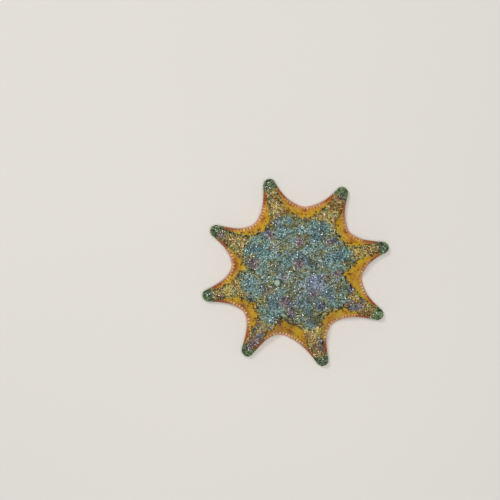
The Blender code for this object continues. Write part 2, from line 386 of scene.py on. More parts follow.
def readNormals(mesh):
    return readArray(mesh.vertex_normals, "vector", 3).astype(float)


def addPiece(name, mesh, material, stands=()):
    piece = bpy.data.objects.new(name, mesh)
    mesh.materials.append(material)
    bpy.context.scene.collection.objects.link(piece)
    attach(piece, "root")
    if stands:
        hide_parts(*stands)
    print(f"{name}: {sum(len(face.vertices) - 2 for face in mesh.polygons)} triangles")
    return piece


# Where a point of the plan lies on the star.

def armFrame(plan):  # arm, distance along it, distance across it
    direction = np.degrees(np.arctan2(plan[:, 1], plan[:, 0])) % 360.0
    arm = np.searchsorted(bayDirections, direction) % armCount
    angle = np.radians(armDirections[arm])
    along = plan[:, 0] * np.cos(angle) + plan[:, 1] * np.sin(angle)
    across = plan[:, 1] * np.cos(angle) - plan[:, 0] * np.sin(angle)
    return arm, along, across - axisOffset(arm, along)


edging = {"pitch": 0.08, "span": 3}  # of the outline's points, and how many each way give its direction


def outline():  # the margin as evenly spaced points, with outward directions
    parts = []
    for arm in range(armCount):
        halves = {}
        for side in sides:
            ribs = halfRibs(arm, side)
            half = np.stack((ribs["endX"], side * ribs["endY"]), 1)
            half[:, 1] += axisOffset(arm, half[:, 0])
            halves[side] = turned(half, armDirections[arm])
        parts.append(np.vstack((halves[-1], halves[1][::-1][1:-1])))
    raw = np.vstack((*parts, parts[0][:1]))
    run = runAlong(raw)
    even = np.linspace(0.0, run[-1], int(run[-1] / edging["pitch"]), endpoint=False)
    points = np.stack((np.interp(even, run, raw[:, 0]), np.interp(even, run, raw[:, 1])), 1)
    ahead = unit(np.roll(points, -edging["span"], axis=0) - np.roll(points, edging["span"], axis=0))
    return points, -leftOf(ahead), even, run[-1]


rimPoints, rimOutward, rimRun, rimLength = outline()
rimTree = nearTree(rimPoints)

markings = {
    "bandRuns": (  # along the outline, from a bay's middle
        -13.0, -10.0, -8.0, -6.0, -4.0, -2.0, 0.0, 2.0, 4.0, 6.0, 8.0, 10.0, 13.0,
    ),
    "bandWidths": (  # the orange band's width there, in each bay
        (0.3, 0.5, 0.7, 1.2, 2.6, 3.6, 3.9, 3.8, 3.0, 1.4, 0.7, 0.5, 0.3),
        (0.3, 0.6, 1.1, 1.6, 2.6, 3.6, 3.6, 3.4, 3.0, 2.1, 1.2, 0.7, 0.3),
        (0.3, 0.6, 1.0, 1.8, 2.8, 3.6, 3.4, 2.7, 2.2, 1.5, 1.0, 0.6, 0.3),
        (0.3, 0.5, 0.7, 1.0, 1.6, 2.8, 3.8, 2.7, 2.0, 1.5, 1.1, 0.6, 0.3),
        (0.3, 0.6, 1.0, 1.8, 2.9, 3.4, 3.8, 3.4, 2.2, 1.3, 0.8, 0.5, 0.3),
        (0.3, 0.4, 0.5, 0.8, 1.8, 3.1, 3.9, 4.7, 4.2, 2.6, 1.1, 0.6, 0.3),
        (0.3, 0.5, 0.8, 1.2, 2.0, 3.0, 3.7, 3.8, 3.4, 2.3, 1.2, 0.6, 0.3),
        (0.3, 0.7, 1.2, 1.8, 2.7, 3.5, 4.2, 4.2, 3.6, 2.6, 1.4, 0.7, 0.3),
    ),
    "bandWave": 0.1, "waveFull": 3.0,  # how much the width wavers, and the width that does so fully
    "waves": ((29, 1.0, 1.0), (53, 2.0, 0.8), (87, 0.0, 0.6)),  # number round the star, phase, share
    "bandWaver": 0.14, "waverFull": 2.0,  # the same for the inner border
    "wavers": (  # along x, along y, phase, share
        (1.9, 1.1, 0.0, 1.0), (-1.3, 2.3, 2.0, 1.0), (4.1, -2.9, 0.0, 0.7),
    ),
    "wedges": (  # direction and distance of the point that the band sends inward in each bay
        (39.4, 16.8), (77.0, 16.6), (127.5, 16.0), (174.9, 15.3),
        (216.7, 15.4), (253.5, 14.6), (309.7, 15.6), (358.6, 14.2),
    ),
    "wedgeSlope": 0.85, "wedgeReach": 3.0,
    "petals": (  # blue-green patches: arm, distance along and across it, half-length, half-width, strength
        (1, 12.8, 1.1, 5.0, 2.0, 1.0), (2, 13.0, 0.4, 4.8, 2.9, 0.8), (3, 13.2, 0.5, 3.8, 2.1, 0.8),
        (3, 21.4, 0.6, 1.5, 1.0, 0.9), (4, 12.6, -0.8, 5.2, 1.9, 0.9), (4, 15.0, 1.2, 2.4, 1.4, 0.5),
        (5, 12.2, 1.8, 2.6, 1.5, 0.7), (5, 14.0, -0.6, 3.3, 1.8, 0.85), (6, 11.2, -0.4, 4.6, 2.3, 0.85),
        (6, 15.2, 0.8, 2.2, 1.4, 0.8), (7, 10.0, 0.0, 4.0, 2.6, 0.76), (7, 13.6, -1.2, 2.6, 1.8, 0.5),
        (8, 10.5, -0.5, 4.2, 2.4, 0.7), (8, 14.8, 0.3, 2.6, 2.0, 0.6),
    ),
    "ring": (4.8, 2.6, 0.8),  # blue-green round the centre: radius, half-width, strength
    "ringTurn": 100.0, "ringUneven": 0.28,  # where the ring is strongest, and how uneven it is
    "plum": (  # purple-brown patches: direction, distance, radius, strength
        (81.0, 2.4, 1.8, 1.0), (85.5, 9.2, 1.5, 1.0), (350.9, 8.7, 1.4, 0.7), (247.3, 9.6, 1.8, 1.0),
        (42.9, 13.4, 1.6, 0.8), (168.0, 13.2, 2.0, 0.9), (126.0, 14.0, 1.8, 0.8), (200.0, 4.0, 1.5, 0.7),
        (210.8, 10.7, 1.4, 0.7), (262.5, 12.4, 1.6, 0.9), (308.6, 8.3, 1.5, 0.8), (358.5, 12.2, 1.7, 0.7),
        (153.7, 25.5, 1.3, 0.8), (239.7, 23.2, 1.4, 1.0), (238.8, 25.2, 1.4, 1.0), (238.0, 26.9, 1.1, 0.8),
        (333.2, 21.8, 1.3, 0.9), (108.0, 17.6, 1.4, 0.7), (131.0, 10.4, 1.4, 0.6), (20.0, 13.5, 1.0, 0.4),
    ),
    "navy": (  # blue-black patches
        (306.0, 12.3, 1.8, 0.9), (261.0, 13.4, 1.3, 0.8), (342.2, 17.0, 1.5, 0.9), (127.0, 15.0, 1.0, 0.9),
        (40.0, 14.9, 1.1, 0.9), (246.5, 15.7, 0.9, 0.8), (244.2, 17.6, 0.8, 0.7), (184.3, 17.1, 0.9, 0.7),
        (264.0, 9.5, 3.4, 0.66), (300.0, 9.0, 3.4, 0.6), (326.0, 12.0, 3.0, 0.62), (232.0, 12.0, 2.6, 0.6),
        (286.0, 15.0, 2.4, 0.66), (242.0, 21.0, 3.6, 0.62), (328.0, 20.0, 3.2, 0.62),
        (288.0, 23.0, 3.0, 0.62), (209.0, 16.5, 1.0, 0.6), (330.0, 18.6, 0.9, 0.7),
        (63.0, 16.6, 0.7, 0.7), (300.0, 14.4, 0.9, 0.7),
    ),
    "lilac": (  # blue-grey, whitish granules; their pale tones also paint the bluish-white glints of the wet back there
        (329.0, 6.8, 3.8, 0.9), (336.0, 5.3, 2.2, 1.0), (62.0, 4.8, 2.2, 0.62), (-75.0, 5.5, 2.6, 0.6),
        (25.0, 7.4, 2.4, 0.58), (350.0, 12.0, 2.2, 0.6), (137.0, 7.9, 1.3, 0.6), (187.0, 5.8, 1.3, 0.6),
        (112.0, 16.2, 1.5, 0.6),
    ),
    "lemon": (  # yellow
        (20.5, 20.0, 1.3, 1.0), (194.6, 21.5, 1.6, 0.8), (239.2, 19.2, 1.5, 0.8), (290.1, 20.0, 1.4, 0.7),
        (218.0, 13.6, 1.4, 0.6), (86.0, 14.6, 1.2, 0.6), (15.0, 23.6, 1.3, 0.5), (59.0, 23.4, 1.8, 0.6),
    ),
    "umber": (  # dark brown
        (59.5, 26.5, 1.2, 0.9), (198.4, 24.6, 1.2, 0.9), (289.9, 22.7, 0.8, 0.8), (154.9, 22.0, 0.9, 0.7),
        (145.9, 18.1, 0.8, 0.7), (99.6, 18.0, 0.8, 0.7), (14.0, 18.0, 0.7, 0.6), (62.0, 19.4, 0.8, 0.6),
        (258.0, 17.0, 5.0, 0.3), (218.0, 17.5, 3.6, 0.2), (306.0, 17.0, 2.6, 0.14), (264.0, 15.6, 1.0, 0.6),
        (251.0, 15.9, 0.8, 0.6), (314.0, 15.4, 0.6, 0.7), (300.5, 16.0, 0.5, 0.7), (212.0, 16.8, 0.6, 0.6),
    ),
    "petalFade": (0.7, 2.6), "patchFade": (0.8, 2.4),  # how fast they fade from their middles
    "limbStart": (16.8, 18.8),  # where the warmer colours of an arm come in
    "limbBulge": 0.12, "limbWide": 9.0,  # how much sooner at its sides, and the square of how far out
    "limbBorder": (0.7, 1.7, 1.4),  # strength beside the orange, how far off it starts, and over how much
    "tipStart": 5.4, "tipFade": 3.6,  # green from this far short of an arm's end
}


def bandWidth():  # at every point of the outline
    arm, along, across = armFrame(rimPoints)
    width = np.empty(len(rimPoints))
    for a in range(armCount):
        for side in sides:
            curve, own = curves[a, side], (arm == a) & (across * side >= 0.0)
            away = np.interp(along[own], curve[:, 0], runAlong(curve))
            widths = markings["bandWidths"][bayBeside(a, side)]
            width[own] = np.interp(-side * away, markings["bandRuns"], widths)
    turn = rimRun / rimLength * 2.0 * np.pi
    wave = sum(share * np.sin(number * turn + phase) for number, phase, share in markings["waves"])
    return width + markings["bandWave"] * wave * soften(width / markings["waveFull"])


rimBand = bandWidth()


def fading(away, strength, kind):  # a patch's strength, this share of its radius from its middle
    fall, power = markings[kind]
    return strength * np.exp(-fall * away ** power)


def wedgeGap(plan):  # how far inside the nearest wedge each point lies
    best = np.full(len(plan), -9.0)
    slope = markings["wedgeSlope"]
    for (direction, distance), (bayDirection, bayDistance) in zip(markings["wedges"], body["bays"]):
        tip = turned(np.array((distance, 0.0)), direction)
        ahead = unit(turned(np.array((bayDistance, 0.0)), bayDirection) - tip)
        out = ((plan - tip) * ahead).sum(axis=1)
        aside = np.abs((plan - tip) @ leftOf(ahead))
        gap = (np.minimum(out, markings["wedgeReach"]) * slope - aside) / math.hypot(1.0, slope)
        best = np.maximum(best, np.where(out > 0.0, gap, -np.hypot(out, aside)))
    return best


def patchStrength(plan, patches):
    total = np.zeros(len(plan))
    for direction, distance, radius, strength in patches:
        centre = turned(np.array((distance, 0.0)), direction)
        away = np.linalg.norm(plan - centre, axis=1) / radius
        total = np.maximum(total, fading(away, strength, "patchFade"))
    return total


def tealStrength(plan):  # petals along the arms, and a ring round the centre
    petal = np.zeros(len(plan))
    for number, x, y, halfLength, halfWidth, strength in markings["petals"]:
        local = turned(plan, -armDirections[number - 1])
        away = np.hypot((local[:, 0] - x) / halfLength, (local[:, 1] - y) / halfWidth)
        petal = np.maximum(petal, fading(away, strength, "petalFade"))
    radius, halfWidth, strength = markings["ring"]
    uneven = markings["ringUneven"]
    turn = np.arctan2(plan[:, 1], plan[:, 0]) - math.radians(markings["ringTurn"])
    away = (np.linalg.norm(plan, axis=1) - radius) / halfWidth
    return np.maximum(petal, strength * (1.0 - uneven + uneven * np.cos(turn)) * np.exp(-away ** 2))


def atRim(plan):  # distance inside the outline, and the orange band's width there
    nearest = [rimTree.find((x, y, 0.0)) for x, y in plan]
    at = [found[1] for found in nearest]
    outside = ((plan - rimPoints[at]) * rimOutward[at]).sum(axis=1) > 0.0
    return np.array([found[2] for found in nearest]) * np.where(outside, -1.0, 1.0), rimBand[at]


def marksAt(plan, under=0.0):  # what the materials need to know at points of the plan
    arm, along, across = armFrame(plan)
    x, y = plan.T
    rimGap, band = atRim(plan)
    waver = sum(share * np.sin(a * x + b * y + phase) for a, b, phase, share in markings["wavers"])
    waver = markings["bandWaver"] * waver * soften(band / markings["waverFull"])
    bandGap = np.maximum(band - rimGap, wedgeGap(plan)) + waver
    limbLow, limbHigh = markings["limbStart"]
    share, start, over = markings["limbBorder"]
    bulge = markings["limbBulge"] * np.minimum(across ** 2, markings["limbWide"])
    limb = soften((along + bulge - limbLow) / (limbHigh - limbLow))
    tipStart = armReaches[arm] - markings["tipStart"]
    return {
        "bandGap": bandGap,
        "rimGap": rimGap,
        "teal": tealStrength(plan),
        **{name: patchStrength(plan, markings[name]) for name in ("plum", "navy", "lilac", "lemon", "umber")},
        "limb": np.maximum(limb, share * soften((bandGap + start) / over)),
        "tip": soften((along - tipStart) / markings["tipFade"]),
        "under": np.full(len(plan), under) if np.isscalar(under) else under,
    }


# Plates of the back, each a crescent with its hollow side to the centre.

plates = {
    "along": 1.0,  # pitch along an arm and between its rows
    "between": 1.15,
    "rows": 8,  # on each side of an arm's axis
    "size": 1.12,  # width of a crescent
    "tipScale": 0.62,  # plates near the tips are smaller
    "shrink": (19.0, 3.0),  # where they start to shrink, and how far short of the tip that ends
    "narrow": (17.0, 8.0),  # where the rows start to draw together, and over how much
    "closest": 0.8,  # least distance between two, as a share of their scale
    "fills": (  # more plates wherever a gap is left: scale, least distance, tries
        (1.0, 0.86, 4000), (0.8, 0.88, 16000), (0.6, 0.92, 30000),
    ),
    "fillReach": 30.5,
    "sieveClear": 1.5,  # clear space round the sieve plate
    "bandClear": 0.4,  # larger plates keep this far from the orange band
    "bandOverlap": 0.1,
    "rimClear": (0.75, 0.5),  # least distance from the outline, on the disc and on the arms
    "wander": 0.08, "startWander": 0.2,
    "rowStart": 6.5,  # nearer the centre the plates lie at random
    "rowSector": 0.45,  # widest that an arm's rows reach, as a share of the distance along it
    "endClear": 0.5,
    "turn": (0.12, 1.2), "turnReach": 8.0,  # how much a plate is turned: along the arms, at the centre
    "alongShare": 0.6, "radialReach": 6.0,  # plates face along their arm, but outward near the centre
    "swell": (0.88, 1.08),  # how their widths vary
}
sieveLow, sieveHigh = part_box("madreporite")
sievePlace = np.array((sieveLow + sieveHigh) / 2) / mm


def plateScale(along, reach):
    start, end = plates["shrink"]
    return blend(1.0, plates["tipScale"], soften((along - start) / (reach - start - end)))


def rowPlates():  # in rows along the arms, the rows nearest the axes first
    found = []
    start, over = plates["narrow"]
    wide = plates["startWander"]
    for arm in range(armCount):
        reach = armReaches[arm]
        for row in range(-plates["rows"], plates["rows"] + 1):
            x = plates["rowStart"] + 0.5 * plates["along"] * (row % 2) + random.uniform(-wide, wide)
            while x < reach - plates["endClear"]:
                scale = plateScale(x, reach)
                wander = random.normal(0.0, plates["wander"], 2) * scale
                across = row * plates["between"] * blend(1.0, plates["tipScale"], soften((x - start) / over))
                if abs(across) < x * plates["rowSector"]:
                    place = np.array((x + wander[0], across + wander[1] + axisOffset(arm, x)))
                    found.append((*turned(place, armDirections[arm]), abs(row)))
                x += plates["along"] * scale
    found = np.array(found)
    return found[np.argsort(found[:, 2], kind="stable"), :2]


def spacedOut(candidates, gaps):  # numbers of those that lie clear of all that are kept before them
    kept, cells, size = [], {}, float(gaps.max())
    for i, (x, y) in enumerate(candidates):
        column, row = int(x // size), int(y // size)
        near = [j for a in (-1, 0, 1) for b in (-1, 0, 1) for j in cells.get((column + a, row + b), ())]
        if all(math.hypot(x - candidates[j][0], y - candidates[j][1]) >= gaps[i] for j in near):
            kept.append(i)
            cells.setdefault((column, row), []).append(i)
    return np.array(kept)


def layPlates():  # rows first, then small plates wherever a gap is left
    rows, reach = rowPlates(), plates["fillReach"]
    kinds = ((1.0, plates["closest"], len(rows)), *plates["fills"])
    numbers = [kind[2] for kind in kinds]
    candidates = np.vstack((rows, random.uniform(-reach, reach, (sum(numbers[1:]), 2))))
    marks = marksAt(candidates)
    arm, along, _ = armFrame(candidates)
    sizes, distances = (np.repeat([kind[i] for kind in kinds], numbers) for i in (0, 1))
    smallest = kinds[-1][0]
    clear = plates["bandClear"] * (sizes - smallest) / (1.0 - smallest)
    inside = marks["bandGap"] < plates["bandOverlap"] - clear
    inside &= marks["rimGap"] > blend(*plates["rimClear"], marks["limb"])
    inside &= np.linalg.norm(candidates - sievePlace[:2], axis=1) > plates["sieveClear"]
    scales = plateScale(along, armReaches[arm]) * sizes
    gaps = scales * distances
    candidates, scales, gaps = candidates[inside], scales[inside], gaps[inside]
    kept = spacedOut(candidates, gaps)
    return candidates[kept], scales[kept]


platePlan, plateScales = layPlates()
plateArm = armFrame(platePlan)[0]
plateTones = random.random(len(platePlan))
plateTree = nearTree(platePlan)
print("laid", len(platePlan), "plates")


granules = {
    "kinds": (  # name, least scale of a plate, and arcs of granules: radius, angle, number
        ("wide", 0.85, ((0.54, 76.0, 8), (0.38, 68.0, 6), (0.23, 48.0, 3))),
        ("small", 0.55, ((0.47, 72.0, 5), (0.29, 58.0, 4))),
        ("tiny", 0.0, ((0.44, 70.0, 4), (0.22, 45.0, 2))),
    ),
    "setBack": 0.3,  # from a plate's middle to the centre of its arcs, as a share of its width
    "wander": 0.022,  # of a granule from its place
    "radius": (0.12, 0.86, 1.14), "height": (0.28, 0.82, 1.12),  # and the least and greatest share
    "dome": (1.12, 0.5),  # height at a plate's middle, and what is lost towards its edge
    "shrinking": 0.6,  # power of a plate's scale that its granules follow
    "lean": 0.22,
    "jitter": 0.1,
    "tilt": 0.16, "tiltSpread": 0.08,  # how much the film of water on a granule leans
    "level": 0.75,  # and how level it lies on a sloping back
    "around": (0.6, 8),  # how far off, and at how many places, the slope of the back is read
}


def plateHeadings():  # the way each crescent bulges: along its arm, or outward near the centre
    radial = unit(platePlan)
    along = turned(np.tile((1.0, 0.0), (len(platePlan), 1)), armDirections[plateArm])
    radius, share = np.linalg.norm(platePlan, axis=1), plates["alongShare"]
    inner = np.exp(-(radius / plates["radialReach"]) ** 2)[:, None]
    ahead = unit(along * share * (1.0 - inner) + radial * (1.0 - share + share * inner))
    spread = blend(*plates["turn"], np.exp(-(radius / plates["turnReach"]) ** 2))
    return turned(ahead, np.degrees(spread * random.normal(0.0, 1.0, len(platePlan))))


headings = plateHeadings()
plateMarks = marksAt(platePlan)
plateSwell = random.uniform(*plates["swell"], len(platePlan))


# The skin, in one piece: an even mesh over the loft, with a raised crescent for each plate.

relief = {
    "voxel": 0.2, "weld": 0.01,
    "smoothings": 7,
    "kept": 0.68,  # share of the mesh that is left once the underside is thinned
    "facesDown": -0.4,
    "crescent": 0.24,  # height of a plate's ridge
    "middle": 0.36,  # its middle line's radius, as a share of the plate's width
    "spread": 78.0,
    "flat": 0.08, "slope": 0.2,  # half-width of the ridge's top, and of its side
    "neighbours": 4,
    "bandFade": 0.25, "rimFade": 0.4,  # how soon the ridges fade at the orange and at the outline
}


def crescentRise(plan):  # 0 between plates to 1 on their ridges, and the plate that gives it
    count = relief["neighbours"]
    near = np.array([[found[1] for found in plateTree.find_n((x, y, 0.0), count)] for x, y in plan])
    size = (plates["size"] * plateScales * plateSwell)[near]
    shift = (plan[:, None, :] - platePlan[near]) / size[..., None]
    ahead = headings[near]
    u = (shift * ahead).sum(axis=2) + granules["setBack"]
    v = shift[..., 1] * ahead[..., 0] - shift[..., 0] * ahead[..., 1]
    limit = math.radians(relief["spread"])
    turn = np.clip(np.arctan2(v, u), -limit, limit)
    away = np.hypot(u - relief["middle"] * np.cos(turn), v - relief["middle"] * np.sin(turn))
    rises = 1.0 - soften((away - relief["flat"]) / relief["slope"])
    best = rises.argmax(axis=1)
    row = np.arange(len(plan))
    return rises[row, best] * plateScales[near[row, best]] ** 0.5, near[row, best]


def cornerWeights(hits, a, b, c):
    parts = np.stack((
        np.linalg.norm(np.cross(b - hits, c - hits), axis=1),
        np.linalg.norm(np.cross(c - hits, a - hits), axis=1),
        np.linalg.norm(np.cross(a - hits, b - hits), axis=1),
    ), 1)
    return parts / np.maximum(parts.sum(axis=1, keepdims=True), 1e-12)


def modified(mesh, *changes, lower=()):  # after a chain of modifiers; lower is a group of its points
    piece = bpy.data.objects.new("form", mesh)
    bpy.context.scene.collection.objects.link(piece)
    if lower:
        piece.vertex_groups.new(name="lower").add(lower, 1.0, "REPLACE")
    for kind, fields in changes:
        modifier = piece.modifiers.new(kind, kind)
        for key, value in fields.items():
            setattr(modifier, key, value)
    result = bpy.data.meshes.new_from_object(piece.evaluated_get(bpy.context.evaluated_depsgraph_get()))
    bpy.data.objects.remove(piece, do_unlink=True)
    return result


def evenMesh(points, faces):
    mesh = bpy.data.meshes.new("loft")
    mesh.from_pydata((points * mm).tolist(), [], faces.tolist())
    form = bmesh.new()
    form.from_mesh(mesh)
    bmesh.ops.remove_doubles(form, verts=form.verts[:], dist=relief["weld"] * mm)
    bmesh.ops.recalc_face_normals(form, faces=form.faces[:])
    form.to_mesh(mesh)
    form.free()
    mesh = modified(
        mesh,
        ("REMESH", {"mode": "VOXEL", "voxel_size": relief["voxel"] * mm}),
        ("SMOOTH", {"factor": 0.5, "iterations": relief["smoothings"]}),
    )
    lower = np.flatnonzero(readNormals(mesh)[:, 2] < relief["facesDown"]).tolist()
    mesh = modified(mesh, ("DECIMATE", {"ratio": relief["kept"], "vertex_group": "lower"}), lower=lower)
    mesh.name = "skin"
    return mesh


def onLoft(points, faces, even):  # the loft's corners round each point of the even mesh, and their weights
    corners = np.vstack((faces[:, (0, 1, 2)], faces[:, (0, 2, 3)]))
    a, b, c = (points[corners[:, i]] for i in range(3))
    corners = corners[np.linalg.norm(np.cross(b - a, c - a), axis=1) > 1e-7]
    tree = BVHTree.FromPolygons(points.tolist(), corners.tolist())
    nearest = [tree.find_nearest(Vector(point)) for point in even]
    hits = np.array([tuple(found[0]) for found in nearest])
    owners = corners[np.array([found[2] for found in nearest])]
    return owners, cornerWeights(hits, *(points[owners[:, i]] for i in range(3)))


def mapSkin(mesh, places, under):  # each face lies on the map of its own side
    loops = readArray(mesh.loops, "vertex_index", kind=np.int32)[:, 0]
    totals = np.array([len(face.vertices) for face in mesh.polygons])
    face = np.repeat(np.arange(len(totals)), totals)
    below = np.bincount(face, under[loops]) / totals > 0.5
    uv = np.where(below[face][:, None], places[loops, 2:], places[loops, :2])
    bakeMap = mesh.uv_layers.new(name="OFBake")
    bakeMap.data.foreach_set("uv", uv.astype(np.float32).ravel())


def makeSkinMesh():
    points, faces, places, under = loftedSkin()
    mesh = evenMesh(points, faces)
    even = readPoints(mesh)
    owners, weights = onLoft(points, faces, even)
    under = soften((under[owners] * weights).sum(axis=1))
    mapSkin(mesh, (places[owners] * weights[:, :, None]).sum(axis=1), under)

    values = marksAt(even[:, :2], under)
    rises, owner = crescentRise(even[:, :2])
    fade = relief["rimFade"]
    onBack = (1.0 - under) * soften(0.5 - values["bandGap"] / relief["bandFade"])
    onBack = onBack * soften((values["rimGap"] - fade) / fade)
    even = even + readNormals(mesh) * (relief["crescent"] * rises * onBack)[:, None]
    mesh.vertices.foreach_set("co", (even * mm).astype(np.float32).ravel())
    setValues(mesh, {**values, "place": even, "plateTone": plateTones[owner], "ridge": rises * onBack})
    mesh.update()
    mesh.shade_smooth()
    return mesh


skinMesh = makeSkinMesh()


rayStarts = (-5.0, 20.0)  # levels below and above the star


class Ground:  # the skin as something to plant granules on
    def __init__(self, mesh):
        mesh.calc_loop_triangles()
        self.corners = readArray(mesh.loop_triangles, "vertices", 3, np.int32)
        self.loops = readArray(mesh.loop_triangles, "loops", 3, np.int32)
        self.points, self.normals = readPoints(mesh), readNormals(mesh)
        self.maps = readArray(mesh.uv_layers["OFBake"].data, "uv", 2)
        self.tree = BVHTree.FromPolygons(self.points.tolist(), self.corners.tolist())

    def meet(self, starts, directions):  # where rays from starts meet the skin
        hits, faces = [], []
        for start, direction in zip(starts, directions):
            place, _, face, _ = self.tree.ray_cast(Vector(start), Vector(direction))
            hits.append(place if place is not None else (0.0, 0.0, 0.0))
            faces.append(face if face is not None else -1)
        hits, faces = np.array([tuple(hit) for hit in hits]), np.array(faces)
        found = faces >= 0
        corners = self.corners[faces]
        weights = cornerWeights(hits, *(self.points[corners[:, i]] for i in range(3)))
        normals = unit((self.normals[corners] * weights[:, :, None]).sum(axis=1))
        maps = (self.maps[self.loops[faces]] * weights[:, :, None]).sum(axis=1)
        return hits, normals, maps, found

    def above(self, plan):
        return self.cast(plan, rayStarts[1], -1.0)

    def below(self, plan):
        return self.cast(plan, rayStarts[0], 1.0)

    def cast(self, plan, start, way):  # up or down from a level
        starts = np.column_stack((plan, np.full(len(plan), start)))
        return self.meet(starts, np.broadcast_to((0.0, 0.0, way), starts.shape))


ground = Ground(skinMesh)
print("skin lofted with", len(skinMesh.vertices), "points")


# Buds: small closed bodies turned round their own axes, many at a time.

budForms = {  # radius and height along the axis, both as shares; the last is the tip
    "grain": ((0.7, -0.35), (1.0, 0.3), (0.84, 0.78), (0.0, 1.0)),
    "low": ((0.8, -0.4), (1.0, 0.35), (0.0, 1.0)),
    "spine": ((0.9, -0.15), (1.0, 0.3), (0.8, 0.75), (0.0, 1.0)),
    "bubble": ((0.55, -0.3), (0.95, 0.25), (0.9, 0.7), (0.0, 1.0)),
    "foot": ((0.75, -0.2), (0.7, 0.3), (0.62, 0.7), (1.0, 0.86), (0.95, 0.97), (0.0, 0.93)),
}
budMap = {"width": 0.003, "floor": (0.08, 0.42)}  # of one bud's patch, and its underside's size and place


def makeBuds(batch):  # points, faces, places on the map, heights, and the points of one bud
    profile, corners = np.array(budForms[batch["form"]]), batch["corners"]
    roots, axes, maps = batch["roots"], batch["axes"], batch["maps"]
    rings, count = len(profile) - 1, len(roots)
    aside = np.cross(axes, (0.31, 0.17, 0.93))  # any direction that few axes have
    first = unit(aside - axes * (aside * axes).sum(axis=1, keepdims=True))
    second = np.cross(axes, first)
    angles = np.arange(corners) * 2.0 * np.pi / corners
    circle = np.stack((np.cos(angles), np.sin(angles)), 1)
    rises = (batch["heights"][:, None] * profile[None, :, 1])[:, :, None]
    centres = roots[:, None, :] + axes[:, None, :] * rises
    reach = batch["radii"][:, None] * profile[None, :rings, 0]
    spread = first[:, None, :] * circle[None, :, :1] + second[:, None, :] * circle[None, :, 1:]
    walls = centres[:, :rings, None, :] + reach[:, :, None, None] * spread[:, None, :, :]
    points = np.concatenate((walls.reshape(count, rings * corners, 3), centres[:, rings:, :]), axis=1)
    perBud = rings * corners + 1

    around = np.arange(corners)
    after, last = (around + 1) % corners, (rings - 1) * corners
    quads = np.concatenate([
        np.stack((low + around, low + after, low + corners + after, low + corners + around), 1)
        for low in range(0, last, corners)
    ])
    crown = np.stack((last + around, last + after, np.full(corners, perBud - 1)), 1)
    offsets = (np.arange(count) * perBud)[:, None, None]
    groups = quads, crown, around[None, ::-1]
    faceSets = [(group[None] + offsets).reshape(-1, group.shape[1]) for group in groups]

    outward = 1.0 - np.arange(rings + 1) / rings  # the root is the patch's edge, the tip its middle
    local = np.vstack([circle * share for share in outward[:rings]] + [np.zeros((1, 2))])
    local = local * budMap["width"] / 2.0
    size, place = budMap["floor"]
    floor = (circle * size + place)[::-1] * budMap["width"]
    mapSets = [(maps[:, None, None, :] + part[None]).reshape(-1, part.shape[1], 2)
               for part in (local[quads], local[crown], floor[None])]
    levels = np.clip(profile[:, 1], 0.0, 1.0).repeat([corners] * rings + [1])
    return points.reshape(-1, 3), faceSets, mapSets, np.tile(levels, count), perBud


def budMesh(name, batches):  # batches of buds, each with values for its roots, in one mesh
    points, faceSets, mapSets, values = [], [], [], {}
    count = 0
    for batch in batches:
        made, faces, maps, rises, perBud = makeBuds(batch)
        points.append(made)
        faceSets += [face + count for face in faces]
        mapSets += maps
        count += len(made)
        own = {"facing": batch["axes"], **batch["values"]}
        own = {key: np.repeat(array, perBud, axis=0) for key, array in own.items()}
        for key, array in {**own, "grainHeight": rises}.items():
            values.setdefault(key, []).append(array)
    joined = {key: np.concatenate(arrays) for key, arrays in values.items()}
    return makeMesh(name, np.vstack(points), faceSets, mapSets, joined)


def tagged(values, roots, plateTone=None):  # adds each root's place and tones to its markings
    values["place"] = roots
    values["plateTone"] = random.random(len(roots)) if plateTone is None else plateTone
    values["grainTone"] = random.random(len(roots))
    return values


def plant(plan, plateTone=None, under=False):  # roots, normals, maps, found or not, and values on the skin
    roots, normals, maps, found = ground.below(plan) if under else ground.above(plan)
    return roots, normals, maps, found, tagged(marksAt(plan, 1.0 if under else 0.0), roots, plateTone)


def chosen(batch, keep):  # only those buds of a batch
    fresh = {key: batch[key][keep] for key in ("roots", "axes", "radii", "heights", "maps")}
    return {**batch, **fresh, "values": {key: array[keep] for key, array in batch["values"].items()}}


def budBatch(form, corners, spots, axes, radii, heights):
    roots, _, maps, found, values = spots
    batch = {
        "form": form, "corners": corners, "roots": roots, "maps": maps, "values": values,
        "axes": axes, "radii": radii, "heights": heights,
    }
    return chosen(batch, found)


def varied(size, count):  # random sizes: a middle value, and its least and greatest share
    middle, least, greatest = size
    return middle * random.uniform(least, greatest, count)


def leaning(normals, amount):  # axes that stray a little from the normals
    return unit(normals + random.normal(0.0, amount, normals.shape))


def planToSpace(vectors):  # directions in plan, as level directions in space
    return np.column_stack((vectors, np.zeros(len(vectors))))


def filmFacing(normals, look):  # the way a nearly level film of water faces on each granule
    tilts = random.normal(look["tilt"], look["tiltSpread"], (len(normals), 1)) * (1.0, 0.0)
    lean = planToSpace(turned(tilts, random.uniform(0.0, 360.0, len(normals))))
    return unit(blend(normals, np.array((0.0, 0.0, 1.0)), granules["level"]) + lean)


# Tufts of granules on the plates of the back.

def tuftOffsets(arcs):
    offsets = []
    for radius, spread, number in arcs:
        angles = np.radians(np.linspace(-spread, spread, number))
        offsets += list(zip(radius * np.cos(angles) - granules["setBack"], radius * np.sin(angles)))
    return np.array(offsets)


